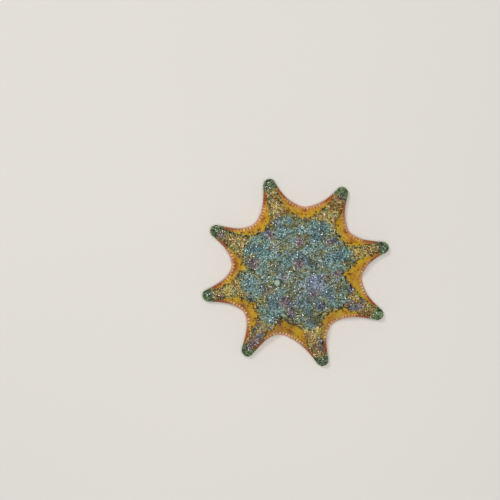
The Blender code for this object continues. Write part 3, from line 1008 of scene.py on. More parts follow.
def tuftBatch(select, arcs):  # tufts on the selected plates, and the arm that each granule is on
    offsets = tuftOffsets(arcs)
    owner = np.repeat(np.flatnonzero(select), len(offsets))
    local = np.tile(offsets, (int(select.sum()), 1))
    size = (plates["size"] * plateScales[owner] * plateSwell[owner])[:, None]
    ahead = headings[owner]
    wander = random.normal(0.0, granules["wander"], (len(owner), 2))
    shift = ahead * (local[:, :1] * size) + leftOf(ahead) * (local[:, 1:] * size) + wander
    roots, normals, maps, found = ground.above(platePlan[owner] + shift)
    values = tagged({key: array[owner] for key, array in plateMarks.items()}, roots, plateTones[owner])
    axes = leaning(normals + planToSpace(shift / size) * granules["lean"], granules["jitter"])
    narrow = plateScales[owner] ** granules["shrinking"]
    radii = narrow * varied(granules["radius"], len(owner))
    middle, lost = granules["dome"]
    dome = middle - lost * (np.linalg.norm(shift, axis=1) / size[:, 0])
    heights = narrow * dome * varied(granules["height"], len(owner))
    values["facing"] = filmFacing(plateNormals[owner], granules)
    spots = roots, normals, maps, found, values
    return budBatch("grain", 5, spots, axes, radii, heights), plateArm[owner][found]


def levelNormals(plan):  # the way the back faces round each point, without its plates
    away, count = granules["around"]
    total = 0.0
    for turn in range(count):
        total = total + ground.above(plan + turned(np.array((away, 0.0)), turn * 360.0 / count))[1]
    return unit(total)


plateNormals = levelNormals(platePlan)
kinds = granules["kinds"]
plateKind = np.array([next(i for i in range(len(kinds)) if scale >= kinds[i][1]) for scale in plateScales])
tufts = [tuftBatch(plateKind == i, kinds[i][2]) for i in range(len(kinds))]
print("planted", sum(len(batch["roots"]) for batch, _ in tufts), "granules on the plates")

# Soft gills between the plates of the disc.

gills = {
    "radius": (0.19, 0.65, 1.15), "height": (0.46, 0.6, 1.1),
    "least": 0.55,  # smallest scale of a plate that bears them
    "bandClear": 0.4, "perPlate": 2, "share": 0.95,
    "back": 0.4, "wander": (0.06, 0.26),  # how far behind a plate, and how scattered: behind, aside
    "jitter": 0.2, "tilt": 0.16, "tiltSpread": 0.05,
}


def gillBatch():
    bearing = np.flatnonzero((plateScales > gills["least"]) & (plateMarks["bandGap"] < -gills["bandClear"]))
    owner = np.repeat(bearing, gills["perPlate"])
    owner = owner[random.random(len(owner)) < gills["share"]]
    ahead, count = headings[owner], len(owner)
    wander = random.normal(0.0, 1.0, (count, 2)) * gills["wander"]
    plan = platePlan[owner] - ahead * (gills["back"] + wander[:, :1]) + leftOf(ahead) * wander[:, 1:]
    spots = plant(plan, plateTones[owner])
    spots[-1]["facing"] = filmFacing(plateNormals[owner], gills)
    return budBatch(
        "bubble", 8, spots, leaning(spots[1], gills["jitter"]),
        plateScales[owner] ** 0.5 * varied(gills["radius"], count), varied(gills["height"], count),
    )


# Fine granules on the orange band.

band = {
    "start": 1.25, "depth": 7.0, "rowPitch": 0.3, "closest": 0.27,  # rows inward from the outline
    "step": 2,  # of the outline's points
    "overlap": 0.15, "astray": 0.12,  # past the band's border, and past the middle of a bay
    "wander": 0.03, "jitter": 0.08,
    "radius": (0.13, 0.8, 1.15), "height": (0.12, 0.7, 1.2),
}


def bandBatch():
    rows = np.arange(band["start"], band["depth"], band["rowPitch"])
    picks = np.arange(0, len(rimPoints), band["step"])
    plan = (rimPoints[picks][None] - rimOutward[picks][None] * rows[:, None, None]).reshape(-1, 2)
    plan = plan + random.normal(0.0, band["wander"], plan.shape)
    marks = marksAt(plan)
    inset = np.repeat(rows, len(picks))
    fits = (marks["bandGap"] > -band["overlap"]) & (marks["rimGap"] > inset - band["astray"])
    plan = plan[fits & (marks["tip"] < 0.5)]
    plan = plan[spacedOut(plan, np.full(len(plan), band["closest"]))]
    spots = plant(plan)
    return budBatch(
        "low", 6, spots, leaning(spots[1], band["jitter"]),
        varied(band["radius"], len(plan)), varied(band["height"], len(plan)),
    )


# Fringe of the margin: a pale tuft on each edge plate, and flat spinelets that stand out from it.

fringe = {
    "pitch": 0.88, "tipPitch": 0.6, "tipSize": 0.76,
    "tipTurn": (22.0, 5.0),  # distance from the centre where the plates get smaller, and over how much
    "rows": (  # granules of one edge plate: distance in from the margin, and places along it
        (0.42, (-0.12, 0.12)), (0.54, (-0.2, 0.0, 0.2)), (0.67, (-0.13, 0.11)), (0.8, (-0.2, 0.01, 0.19)),
        (0.94, (-0.1, 0.12)), (1.08, (-0.16, 0.0, 0.15)),
    ),
    "tuftRadius": (0.13, 0.85, 1.1), "tuftHeight": (0.2, 0.8, 1.1), "tuftLean": 0.5,
    "fan": ((-0.24, 0.07), (-0.12, -0.05), (0.0, 0.08), (0.12, -0.05), (0.24, 0.07)),  # sideways, up
    "fanRadius": (0.085, 0.9, 1.1), "fanLength": 0.6, "fanReach": (1.0, 0.88, 1.0),
    "fanSpread": 0.8, "farthest": 1.2,
    "outside": 1.5,  # how far outside the outline its places are sought from
    "liftInset": 0.985,  # and the share of their distance at which the margin's lift is read
}


def edgeHeight(plan):  # of the outermost line
    arm, along, _ = armFrame(plan * fringe["liftInset"])
    return body["edge"][1] + body["backLiftShare"] * liftAt(along, armReaches[arm])


def edgeTurn(places):  # 0 in the bays to 1 at the arms' ends
    start, over = fringe["tipTurn"]
    return soften((np.linalg.norm(places, axis=-1) - start) / over)


def edgePlates():  # numbers of the outline's points where an edge plate stands
    stations, run = [], 0.0
    while run < rimLength - 0.5 * fringe["tipPitch"]:
        i = int(np.searchsorted(rimRun, run)) % len(rimPoints)
        stations.append(i)
        run += blend(fringe["pitch"], fringe["tipPitch"], edgeTurn(rimPoints[i]))
    return np.array(stations)


def onPlates(stations, local):  # each plate's number, and places, sizes and directions for its own points
    owner = np.repeat(np.arange(len(stations)), len(local))
    at = stations[owner]
    narrow = blend(1.0, fringe["tipSize"], edgeTurn(rimPoints[at]))
    return owner, rimPoints[at], rimOutward[at], narrow, np.tile(local, (len(stations), 1))


def edgeTufts(stations, tones):
    places = [(inset, aside) for inset, asides in fringe["rows"] for aside in asides]
    owner, rim, outward, narrow, local = onPlates(stations, places)
    inset = local[:, :1] * narrow[:, None]
    plan = rim - outward * inset + leftOf(outward) * local[:, 1:] * narrow[:, None]
    spots = plant(plan, tones[owner])
    spots[-1]["fan"] = np.zeros(len(owner))
    return budBatch(
        "grain", 5, spots, unit(spots[1] + planToSpace(outward) * fringe["tuftLean"]),
        narrow * varied(fringe["tuftRadius"], len(owner)), narrow * varied(fringe["tuftHeight"], len(owner)),
    )


def edgeFans(stations, tones):
    owner, rim, outward, narrow, local = onPlates(stations, fringe["fan"])
    plan = rim + leftOf(outward) * local[:, :1] * narrow[:, None]
    tips = np.column_stack((plan, edgeHeight(plan) + local[:, 1]))
    ahead, outward = planToSpace(leftOf(outward)), planToSpace(outward)
    roots, normals, maps, found = ground.meet(tips + outward * fringe["outside"], -outward)
    reach = np.linalg.norm(roots - tips, axis=1)
    found &= reach < fringe["farthest"]
    spread = ahead * (local[:, :1] * fringe["fanSpread"])
    spread[:, 2] += local[:, 1]
    values = tagged(marksAt(plan), roots, tones[owner])
    values["rimGap"], values["fan"] = np.zeros(len(owner)), np.ones(len(owner))
    return budBatch(
        "spine", 5, (roots, normals, maps, found, values), unit(outward + spread),
        narrow * varied(fringe["fanRadius"], len(owner)),
        np.minimum(reach, fringe["fanLength"]) * varied(fringe["fanReach"], len(owner)),
    )


def fringeBatches():
    stations = edgePlates()
    tones = random.random(len(stations))
    return [edgeTufts(stations, tones), edgeFans(stations, tones)]


wall = {
    "pitch": 0.29, "lowest": 0.22, "rowPitch": 0.26, "rows": 7,
    "deepest": 0.42, "outmost": 0.5,  # how far inside and outside the outline they may stand
    "rise": 0.02, "wander": 0.03, "jitter": 0.08,
    "radius": (0.13, 0.8, 1.1), "height": (0.1, 0.7, 1.2),
}


def wallBatch():  # granules on the steep side of the margin, between the fans and the tufts
    picks = np.searchsorted(rimRun, np.arange(0.0, rimLength, wall["pitch"])) % len(rimPoints)
    at = np.tile(picks, wall["rows"])
    rows = wall["lowest"] + wall["rowPitch"] * np.repeat(np.arange(wall["rows"]), len(picks))
    outward = planToSpace(rimOutward[at])
    height = edgeHeight(rimPoints[at]) + rows + random.normal(0.0, wall["rise"], len(at))
    plan = rimPoints[at] + leftOf(rimOutward[at]) * random.normal(0.0, wall["wander"], (len(at), 1))
    starts = np.column_stack((plan, height)) + outward * fringe["outside"]
    roots, normals, maps, found = ground.meet(starts, -outward)
    sunk = np.linalg.norm(roots - starts, axis=1) - fringe["outside"]
    found &= (sunk < wall["deepest"]) & (sunk > -wall["outmost"])
    values = tagged(marksAt(roots[:, :2]), roots)
    return budBatch(
        "low", 5, (roots, normals, maps, found, values), leaning(normals, wall["jitter"]),
        varied(wall["radius"], len(at)), varied(wall["height"], len(at)),
    )


# Underside: tube feet in the grooves, spines beside them, on the jaws and over the rest.

underside = {"floorClear": 0.1, "steepest": 0.98, "jitter": 0.08, "highest": 3.0}


def keptUp(roots, axes, lengths):  # turns spines level enough for their ends to stay above the floor
    lowest = -(roots[:, 2] - underside["floorClear"]) / lengths
    level = unit(axes * (1.0, 1.0, 0.0))
    drop = np.clip(np.maximum(axes[:, 2], lowest), -underside["steepest"], underside["steepest"])
    return level * np.sqrt(1.0 - drop ** 2)[:, None] + np.outer(drop, (0.0, 0.0, 1.0))


def underBatch(form, corners, plan, level, drop, lengths, radii):
    roots, normals, maps, found, values = plant(plan, under=True)
    found &= roots[:, 2] < underside["highest"]
    axes = leaning(unit(planToSpace(level) - (0.0, 0.0, drop)), underside["jitter"])
    spots = roots, normals, maps, found, values
    return budBatch(form, corners, spots, keptUp(roots, axes, lengths), radii, lengths)


def alongArms(look, start, across):  # points beside every arm's groove, and the way to its axis
    plan, level = [], []
    step = look["step"]
    for arm in range(armCount):
        for side in sides:
            first = start + side * step / 4  # the two sides stand half a step apart
            x = np.arange(first, armReaches[arm] - look["end"], step)
            y = side * across(x, armReaches[arm]) + axisOffset(arm, x)
            plan.append(turned(np.stack((x, y), 1), armDirections[arm]))
            level.append(turned(np.stack((0.0 * x, -side + 0.0 * x), 1), armDirections[arm]))
    return np.vstack(plan), np.vstack(level)


tubes = {
    "start": 2.4, "step": 0.62, "end": 3.0,  # along each arm
    "across": 0.46, "wander": 0.03, "lean": 0.16,
    "radius": 0.24, "taper": 0.62, "farthest": 30.0,  # and its share that far out
    "floorClear": 0.12, "lengths": (0.2, 1.2), "share": (1.0, 0.7, 1.0),
}


def tubeFeet():
    plan, _ = alongArms(tubes, tubes["start"], lambda x, reach: tubes["across"] * grooveAt(x, reach)[0])
    plan = plan + random.normal(0.0, tubes["wander"], plan.shape)
    spots = plant(plan, under=True)
    room = np.clip(spots[0][:, 2] - tubes["floorClear"], *tubes["lengths"])
    lengths = room * varied(tubes["share"], len(plan))
    lean = random.normal(0.0, tubes["lean"], (len(plan), 2))
    radii = tubes["radius"] * blend(1.0, tubes["taper"], np.linalg.norm(plan, axis=1) / tubes["farthest"])
    return budBatch("foot", 8, spots, unit(np.column_stack((lean, -np.ones(len(plan))))), radii, lengths)


furrowSpines = {
    "start": 3.3, "step": 0.84, "end": 2.6, "out": 0.2,  # out from the groove's edge
    "fan": (-0.26, 0.0, 0.26), "spread": 0.8, "turn": 1.6,  # three to a plate: places and directions
    "drop": 0.25, "length": (0.55, 0.85, 1.1), "radius": (0.1, 0.9, 1.1),
}


def grooveSpines():
    look = furrowSpines
    plan, level = alongArms(look, look["start"], lambda x, reach: grooveAt(x, reach)[0] + look["out"])
    along, count = leftOf(level), len(plan)
    return [
        underBatch(
            "spine", 6, plan + along * turn * look["spread"], unit(level + along * turn * look["turn"]),
            look["drop"], varied(look["length"], count), varied(look["radius"], count),
        )
        for turn in look["fan"]
    ]


openSpines = {
    "start": 3.3, "step": 0.8, "end": 1.6, "stagger": 0.4,
    "rows": 9, "first": 0.75, "rowStep": 0.82, "rowWidth": 0.3,  # distances from the groove's edge
    "rimClear": 0.95, "closest": 0.62,
    "drop": 0.9, "inward": 0.5, "length": (0.46, 0.75, 1.15), "radius": (0.12, 0.85, 1.1),
}


def spreadSpines():  # in rows that run beside the grooves, out to the margin
    look, plans, levels = openSpines, [], []
    for row in range(look["rows"]):
        out = look["first"] + row * look["rowStep"]
        start = look["start"] + look["stagger"] * (row % 2)
        plan, level = alongArms(look, start, lambda x, reach: grooveAt(x, reach)[0] + out)
        plans.append(plan)
        levels.append(-level)
    plan, level = np.vstack(plans), np.vstack(levels)
    rows = np.repeat(np.arange(len(plans)), [len(part) for part in plans])
    arm, along, across = armFrame(plan)
    wanted = grooveAt(along, armReaches[arm])[0] + look["first"] + rows * look["rowStep"]
    fits = (np.abs(np.abs(across) - wanted) < look["rowWidth"]) & (marksAt(plan)["rimGap"] > look["rimClear"])
    plan, level = plan[fits], level[fits]
    kept = spacedOut(plan, np.full(len(plan), look["closest"]))
    plan, level = plan[kept], level[kept]
    return underBatch(
        "spine", 6, plan, unit(level * look["inward"] + unit(plan)), look["drop"],
        varied(look["length"], len(plan)), varied(look["radius"], len(plan)),
    )


jaws = {
    "distance": 3.2, "spines": 5, "turn": 9.0, "bow": 0.05, "fan": 0.4,  # degrees from spine to spine
    "length": 0.8, "radius": 0.14, "drop": -0.1,
}


def inEach(directions, distance):  # a point that far out in each of the directions
    return turned(np.tile((distance, 0.0), (armCount, 1)), directions)


def jawSpines():
    batches = []
    for i in range(jaws["spines"]):
        turn = (i - (jaws["spines"] - 1) / 2) * jaws["turn"]
        plan = inEach(bayDirections + turn, jaws["distance"] + jaws["bow"] * abs(turn))
        level = -unit(inEach(bayDirections + turn * jaws["fan"], 1.0))
        lengths, radii = (np.full(armCount, jaws[key]) for key in ("length", "radius"))
        batches.append(underBatch("spine", 8, plan, level, jaws["drop"], lengths, radii))
    return batches


eyes = {"back": 1.35, "radius": 0.24, "height": 0.16, "lean": 0.2}


def eyeSpots():  # one at the end of each arm's groove
    x = armReaches - eyes["back"]
    offsets = np.array([axisOffset(arm, x[arm]) for arm in range(armCount)])
    plan = turned(np.stack((x, offsets), 1), armDirections)
    heights, radii = (np.full(armCount, eyes[key]) for key in ("height", "radius"))
    return underBatch("bubble", 10, plan, unit(plan) * eyes["lean"], 1.0, heights, radii)


# Sieve plate: a low dome with winding furrows that run out from its middle.

sieve = {
    "radius": 0.98, "rise": 0.26, "sink": 0.55,
    "furrows": 11, "depth": 0.07,  # twice as many in the outer half
    "start": (0.12, 0.2), "end": 6, "sharpness": 1.5,  # where the furrows start and fade out
    "wind": (1.6, 0.8),  # how much they wind
    "dome": (2.4, 0.6), "wobble": (0.04, 0.025),
    "rings": 22, "around": 144,
    "flat": 0.3, "skirt": 1.45,  # radius of the dome on its map, and of the foot as a share of that
    "floor": (0.05, 0.93),
}


def sieveMesh():
    rings, around = sieve["rings"], sieve["around"]
    share = np.linspace(0.0, 1.0, rings + 1)[1:]
    turn = np.arange(around) * 2.0 * np.pi / around
    r, a = np.meshgrid(share, turn, indexing="ij")
    outer, inner = sieve["wind"]
    wind = outer * np.sin(3.0 * a + 4.0 * r) * r + inner * np.sin(5.0 * a - 3.0 * r)
    number = np.where(r < 0.5, sieve["furrows"], 2 * sieve["furrows"])
    furrow = (0.5 + 0.5 * np.cos(number * a + wind)) ** sieve["sharpness"]
    start, over = sieve["start"]
    cut = sieve["depth"] * furrow * soften((r - start) / over) * (1.0 - r ** sieve["end"])
    full, thin = sieve["dome"]
    height = sieve["rise"] * (1.0 - r ** full) ** thin - cut
    slow, fast = sieve["wobble"]
    wobble = 1.0 + slow * np.sin(2.0 * a + 1.0) + fast * np.sin(5.0 * a)
    radius = sieve["radius"] * r * wobble
    grid = np.stack((radius * np.cos(a), radius * np.sin(a), height), -1).reshape(-1, 3)
    foot = radius[-1] * np.stack((np.cos(turn), np.sin(turn)))
    foot = np.stack((*foot, np.full(around, -sieve["sink"])), -1)
    points = np.vstack((grid, foot, ((0.0, 0.0, sieve["rise"]), (0.0, 0.0, -sieve["sink"]))))
    numbers = np.arange((rings + 1) * around).reshape(rings + 1, around)
    after = np.roll(numbers, -1, axis=1)
    quads = np.stack((numbers[:-1], numbers[1:], after[1:], after[:-1]), -1).reshape(-1, 4)
    top, bottom = len(points) - 2, len(points) - 1
    crown = np.stack((np.full(around, top), numbers[0], after[0]), 1)
    floor = np.stack((np.full(around, bottom), after[-1], numbers[-1]), 1)
    flat = np.vstack((points[:-2, :2] / sieve["radius"] * sieve["flat"], np.zeros((2, 2))))
    flat[rings * around:-2] *= sieve["skirt"]
    topMap = flat + 0.5
    floorSize, floorPlace = sieve["floor"]
    floorMap = points[:, :2] * floorSize + floorPlace
    values = {
        "grainHeight": np.concatenate((height.reshape(-1) / sieve["rise"], np.zeros(around), (1.0, 0.0))),
        "furrow": np.concatenate((furrow.reshape(-1), np.zeros(around + 2))),
    }
    maps = [topMap[quads], topMap[crown], floorMap[floor]]
    mesh = makeMesh("sievePlate", points, [quads, crown, floor], maps, values)
    hit, normal, _, _ = ground.above(sievePlace[None, :2])
    seat = Vector(hit[0] * mm) + Vector(normal[0]) * coat["depth"] * mm
    mesh.transform(Vector(normal[0]).to_track_quat("Z", "Y").to_matrix().to_4x4())
    for vertex in mesh.vertices:
        vertex.co += seat
    return mesh


# Materials.

palette = {  # red, green, blue, as seen in daylight
    "oliveDark": (60, 64, 30), "olive": (120, 122, 64), "olivePale": (204, 196, 124),
    "tealDark": (14, 56, 68), "teal": (50, 112, 117), "tealPale": (170, 206, 200),
    "greyDark": (46, 70, 56), "grey": (98, 130, 102), "greyPale": (190, 212, 180),
    "plumDark": (62, 44, 48), "plum": (116, 88, 92), "plumPale": (192, 168, 170),
    "navyDark": (20, 22, 34), "navy": (46, 50, 72), "navyPale": (132, 138, 164),
    # the lilac tones are the colour of whitish granules and partly a painted glint
    "lilacDark": (58, 70, 92), "lilac": (104, 126, 166), "lilacPale": (208, 218, 238),
    "limbDark": (100, 62, 4), "limb": (178, 132, 24), "limbPale": (255, 236, 146),
    "mossDark": (48, 58, 20), "moss": (116, 116, 42), "mossPale": (222, 216, 130),
    "lemonDark": (136, 118, 26), "lemon": (204, 182, 58), "lemonPale": (240, 226, 130),
    "umberDark": (36, 24, 12), "umber": (84, 60, 34), "umberPale": (170, 140, 92),
    "tipDark": (18, 42, 22), "tip": (72, 104, 58), "tipPale": (180, 206, 148),
    "furrow": (76, 84, 84), "ridge": (140, 142, 140), "limbFurrow": (184, 132, 62),  # skin among granules, multiplied in: its own darker tone, with painted shade deepest in the furrows and least on the plates' ridges
    "orangeInner": (220, 180, 30), "orange": (216, 150, 6), "orangeDeep": (160, 84, 0), "rust": (122, 74, 22),
    "cream": (250, 220, 164), "redBrown": (174, 62, 6), "red": (222, 74, 20), "speck": (52, 26, 10),
    "underCream": (214, 192, 148), "underPale": (238, 226, 196), "underBrown": (150, 118, 78),
    "mouth": (92, 52, 40), "tubeFoot": (234, 206, 140), "tubeTip": (250, 236, 200), "eyeRed": (170, 24, 14),
    "mint": (150, 176, 148), "mintDark": (88, 116, 90), "mintPale": (186, 206, 180),
    "floor": (226, 222, 214),
}


def paint(name):
    shares = [value / 255.0 for value in palette[name]]
    return (*(s / 12.92 if s <= 0.04045 else ((s + 0.055) / 1.055) ** 2.4 for s in shares), 1.0)


def feed(socket, value):
    if isinstance(value, bpy.types.NodeSocket):
        socket.id_data.links.new(value, socket)
    else:
        socket.default_value = value


def addNode(tree, kind, given=None, **fields):  # given: what its sockets take, by their names or numbers
    node = tree.nodes.new(kind)
    for name, value in fields.items():
        setattr(node, name, value)
    for key, value in (given or {}).items():
        feed(node.inputs[key], value)
    return node


def treeOf(*values):  # the node tree that the sockets among the values lie in
    return next(value.id_data for value in values if isinstance(value, bpy.types.NodeSocket))


def calc(operation, a, b=0.0, clamp=False):
    fields = {"operation": operation, "use_clamp": clamp}
    return addNode(treeOf(a, b), "ShaderNodeMath", {0: a, 1: b}, **fields).outputs[0]


def plus(first, *others):
    for other in others:
        first = calc("ADD", first, other)
    return first


def times(a, b, clamp=False):
    return calc("MULTIPLY", a, b, clamp)


def inverse(value, clamp=False):
    return calc("SUBTRACT", 1.0, value, clamp)


def swing(value, amount):  # how far a value from 0 to 1 swings round its middle
    return times(calc("SUBTRACT", value, 0.5), amount)


def rise(value, low, high):  # 0 below low, 1 above high, soft between
    given = {"Value": value, "From Min": low, "From Max": high}
    node = addNode(treeOf(value), "ShaderNodeMapRange", given, interpolation_type="SMOOTHSTEP")
    return node.outputs["Result"]


def fallOff(value, low, high):  # 1 below low, 0 above high
    return inverse(rise(value, low, high))


def near(value, middle, low, high):  # the same, for the distance from a middle value
    return fallOff(calc("ABSOLUTE", calc("SUBTRACT", value, middle)), low, high)


def spanned(value, low, high):  # 0 to 1 turned into low to high
    given = {"Value": value, "To Min": low, "To Max": high}
    return addNode(treeOf(value), "ShaderNodeMapRange", given).outputs["Result"]


def mixed(factor, a, b, how="MIX"):
    given = {0: factor, 6: a, 7: b}
    return addNode(treeOf(factor, a, b), "ShaderNodeMix", given, data_type="RGBA", blend_type=how).outputs[2]


def grey(value):
    return addNode(treeOf(value), "ShaderNodeCombineColor", {0: value, 1: value, 2: value}).outputs[0]


def ramp(factor, *stops):
    node = addNode(treeOf(factor), "ShaderNodeValToRGB", {0: factor})
    node.color_ramp.interpolation = "EASE"
    elements = node.color_ramp.elements
    while len(elements) < len(stops):
        elements.new(0.5)
    for element, (place, name) in zip(elements, stops):
        element.position = place
        element.color = paint(name)
    return node.outputs[0]


def attribute(tree, name, output="Fac"):
    return addNode(tree, "ShaderNodeAttribute", attribute_name=name).outputs[output]


def fromCentre(tree):  # distance from the star's axis
    given = {0: attribute(tree, "place", "Vector"), 1: (1.0, 1.0, 0.0)}
    flat = addNode(tree, "ShaderNodeVectorMath", given, operation="MULTIPLY").outputs[0]
    return addNode(tree, "ShaderNodeVectorMath", {0: flat}, operation="LENGTH").outputs["Value"]


def noise(place, scale, detail=2.0, roughness=0.5):
    given = {"Vector": place, "Scale": scale, "Detail": detail, "Roughness": roughness}
    return addNode(treeOf(place), "ShaderNodeTexNoise", given).outputs["Fac"]


def newGroup(name, takes, gives):
    group = bpy.data.node_groups.new(name, "ShaderNodeTree")
    for label, value in takes.items():
        socket = group.interface.new_socket(name=label, in_out="INPUT", socket_type="NodeSocketFloat")
        socket.default_value = value
    for label, kind in gives.items():
        group.interface.new_socket(name=label, in_out="OUTPUT", socket_type="NodeSocket" + kind)
    return group, addNode(group, "NodeGroupInput").outputs, addNode(group, "NodeGroupOutput").inputs


def useGroup(tree, group, **values):
    return addNode(tree, "ShaderNodeGroup", values, node_tree=group).outputs


breakUp = {  # how the markings break up
    "patchScale": 0.34, "plateScale": 0.7, "grainScale": 3.4,  # noise, per millimetre
    "toneScatter": 0.2, "plateScatter": 1.1, "grainStray": 0.35,  # how far each shifts a marking's border
    "toneShade": 0.28, "grainShade": 0.6, "paintedHeightShade": 0.22,  # and how far each lightens or darkens; the height's share is painted light and shade, paler towards a granule's tip and darker at its root
    "fineShade": 0.7, "broadShade": 0.6,
    "stops": (0.24, 0.55, 0.9),  # shades of a colour's dark, middle and pale tones
    "drift": 0.4, "grey": (0.44, 0.56), "drifting": (0.54, 0.7),  # grey and blue-green drifts on the olive
    "patches": (  # one over another: name, strength where it starts and where it is full, how ragged
        ("teal", 0.36, 0.8, 0.9), ("lilac", 0.4, 0.95, 0.9), ("limb", 0.32, 0.8, 0.5),
        ("moss", 0.25, 0.7, 0.0), ("lemon", 0.4, 0.8, 0.6), ("tip", 0.3, 0.8, 0.9),
        ("plum", 0.36, 0.8, 1.1), ("umber", 0.4, 0.75, 0.5), ("navy", 0.4, 0.9, 1.3),
    ),
    "moss": (0.48, 0.58),  # olive patches on the arms
    "gapScatter": 0.35,  # how ragged the inner border of the orange is
    "orangeFrom": (-0.12, 0.16),
    "border": (-0.3, 0.1, 0.7),  # dark spots outside it: the middle of their line, and how it fades
    "borderSpots": (0.56, 0.61),
    "dotBorder": (0.35, 0.4, 1.0),  # dark dots inside it, in the same way
    "dots": (0.95, 0.36, 1.0),  # how close together they are, their size and strength
    "specks": (0.62, 0.2, 0.9),  # the same for specks all over the orange
    "dotEdge": (0.06, 0.03), "dotShare": 0.4,  # how soft a dot is, and the share of them left out
    "warm": (1.5, 0.4, 0.16, -0.54),  # broad, fine and each granule's share in the orange, and offset
    "warmStops": (0.28, 0.5, 0.72),
    "inner": (0.2, 2.2, 0.6),  # yellower inward: from, to, strength
    "outer": (21.5, 27.0, 0.55),  # rusty towards the arms' ends
    "stain": (0.5, 0.75, 0.5),  # and in stains
    "umber": 0.9,
    "edge": (0.75, 1.25),  # distances from the outline where the red-brown edge fades
    "tipEdge": (0.1, 0.7), "tipOrange": (0.2, 0.8),  # how it and the orange give way to the green tips
    "underStops": (0.1, 0.45, 0.9),
}


def shades(shade, names, stops="stops"):
    return ramp(shade, *zip(breakUp[stops], names))


def tones(name):
    return name + "Dark", name, name + "Pale"


def dots(place, kind):
    scale, size, strength = breakUp[kind]
    grown, shrunk = breakUp["dotEdge"]
    cells = addNode(treeOf(place), "ShaderNodeTexVoronoi", {"Vector": place, "Scale": scale}).outputs
    dot = fallOff(cells["Distance"], size - grown, size + shrunk)
    return times(times(dot, calc("GREATER_THAN", cells["Color"], breakUp["dotShare"])), strength)


def backColour(group, shade, drift, scatter, stray):  # patches over olive, grey and blue-green
    back = shades(shade, tones("olive"))
    back = mixed(rise(drift, *breakUp["grey"]), back, shades(shade, tones("grey")))
    back = mixed(rise(plus(drift, stray), *breakUp["drifting"]), back, shades(shade, tones("teal")))
    for name, low, high, ragged in breakUp["patches"]:
        if name == "moss":
            strength = times(attribute(group, "limb"), rise(drift, *breakUp["moss"]))
        else:
            strength = plus(attribute(group, name), times(scatter, ragged))
        back = mixed(rise(plus(strength, stray), low, high), back, shades(shade, tones(name)))
    return back


def orangeColour(group, place, gap, noises):
    broad, plate, fine, grain = noises
    broadShare, fineShare, grainShare, offset = breakUp["warm"]
    warm = plus(times(broad, broadShare), times(fine, fineShare), times(grain, grainShare), offset)
    orange = shades(warm, ("orangeDeep", "orange", "orangeInner"), "warmStops")
    low, high, strength = breakUp["inner"]
    orange = mixed(times(fallOff(gap, low, high), strength), orange, paint("orangeInner"))
    orange = mixed(dots(place, "specks"), orange, paint("speck"))
    outer, stain = (
        times(rise(value, *breakUp[kind][:2]), breakUp[kind][2])
        for value, kind in ((fromCentre(group), "outer"), (plate, "stain"))
    )
    orange = mixed(calc("MAXIMUM", outer, stain), orange, paint("rust"))
    return mixed(times(attribute(group, "umber"), breakUp["umber"], clamp=True), orange, paint("umber"))


def makeMarkings():
    group, given, out = newGroup(
        "starMarkings", {"Tone": 0.5, "Grain": 0.5, "Height": 0.5},
        {"Color": "Color", "Orange": "Float", "Edge": "Float"},
    )
    place = attribute(group, "place", "Vector")
    broad = noise(place, breakUp["patchScale"], 3.0)
    plate = noise(place, breakUp["plateScale"], 3.0, 0.6)
    fine = noise(place, breakUp["grainScale"], 2.0)
    tone, grain, height = given["Tone"], given["Grain"], given["Height"]
    scatter = plus(swing(tone, breakUp["toneScatter"]), swing(plate, breakUp["plateScatter"]))
    stray = swing(grain, breakUp["grainStray"])
    # the height's share paints light and shade: paler towards a granule's tip, darker at its root
    shade = plus(
        times(tone, breakUp["toneShade"]), times(grain, breakUp["grainShade"]),
        swing(fine, breakUp["fineShade"]), times(height, breakUp["paintedHeightShade"]),
        swing(broad, breakUp["broadShade"]),
    )
    drift = plus(broad, times(scatter, breakUp["drift"]))
    back = backColour(group, shade, drift, scatter, stray)
    gap = plus(attribute(group, "bandGap"), times(scatter, breakUp["gapScatter"]))
    spots = times(near(gap, *breakUp["border"]), rise(plate, *breakUp["borderSpots"]))
    back = mixed(spots, back, paint("navyDark"))

    orange = orangeColour(group, place, gap, (broad, plate, fine, grain))
    tip = attribute(group, "tip")
    isOrange = times(rise(gap, *breakUp["orangeFrom"]), fallOff(tip, *breakUp["tipOrange"]))
    colour = mixed(isOrange, back, orange)
    atBorder = near(gap, *breakUp["dotBorder"])
    colour = mixed(times(atBorder, dots(place, "dots")), colour, paint("speck"))
    below = shades(shade, ("underBrown", "underCream", "underPale"), "underStops")
    feed(out["Color"], mixed(attribute(group, "under"), colour, below))
    feed(out["Orange"], isOrange)
    edge = fallOff(attribute(group, "rimGap"), *breakUp["edge"])
    feed(out["Edge"], times(edge, fallOff(tip, *breakUp["tipEdge"])))
    return group


wetness = {"scale": 0.8, "turn": (0.35, 0.65)}  # of the patches that are drier


def makeWetGrain():  # fine relief and uneven wetness
    group, given, out = newGroup(
        "wetGrain", {"Scale": 6.0, "Dry": 0.4, "Wet": 0.12}, {"Height": "Float", "Roughness": "Float"},
    )
    place = attribute(group, "place", "Vector")
    share = rise(noise(place, wetness["scale"]), *wetness["turn"])
    feed(out["Height"], noise(place, given["Scale"], 4.0))
    feed(out["Roughness"], plus(times(share, given["Dry"]), times(inverse(share), given["Wet"])))
    return group


def makeWaterFilm():  # the normal of a level film of water over each granule
    group, given, out = newGroup("waterFilm", {"Flat": 0.5}, {"Normal": "Vector"})
    turn = addNode(
        group, "ShaderNodeVectorTransform", {0: attribute(group, "facing", "Vector")},
        vector_type="NORMAL", convert_from="OBJECT", convert_to="WORLD",
    )
    normal = addNode(group, "ShaderNodeNewGeometry").outputs["Normal"]
    between = {0: given["Flat"], 4: normal, 5: turn.outputs[0]}
    mix = addNode(group, "ShaderNodeMix", between, data_type="VECTOR")
    even = addNode(group, "ShaderNodeVectorMath", {0: mix.outputs[1]}, operation="NORMALIZE")
    feed(out["Normal"], even.outputs[0])
    return group


markingsGroup = makeMarkings()
wetGroup = makeWetGrain()
filmGroup = makeWaterFilm()


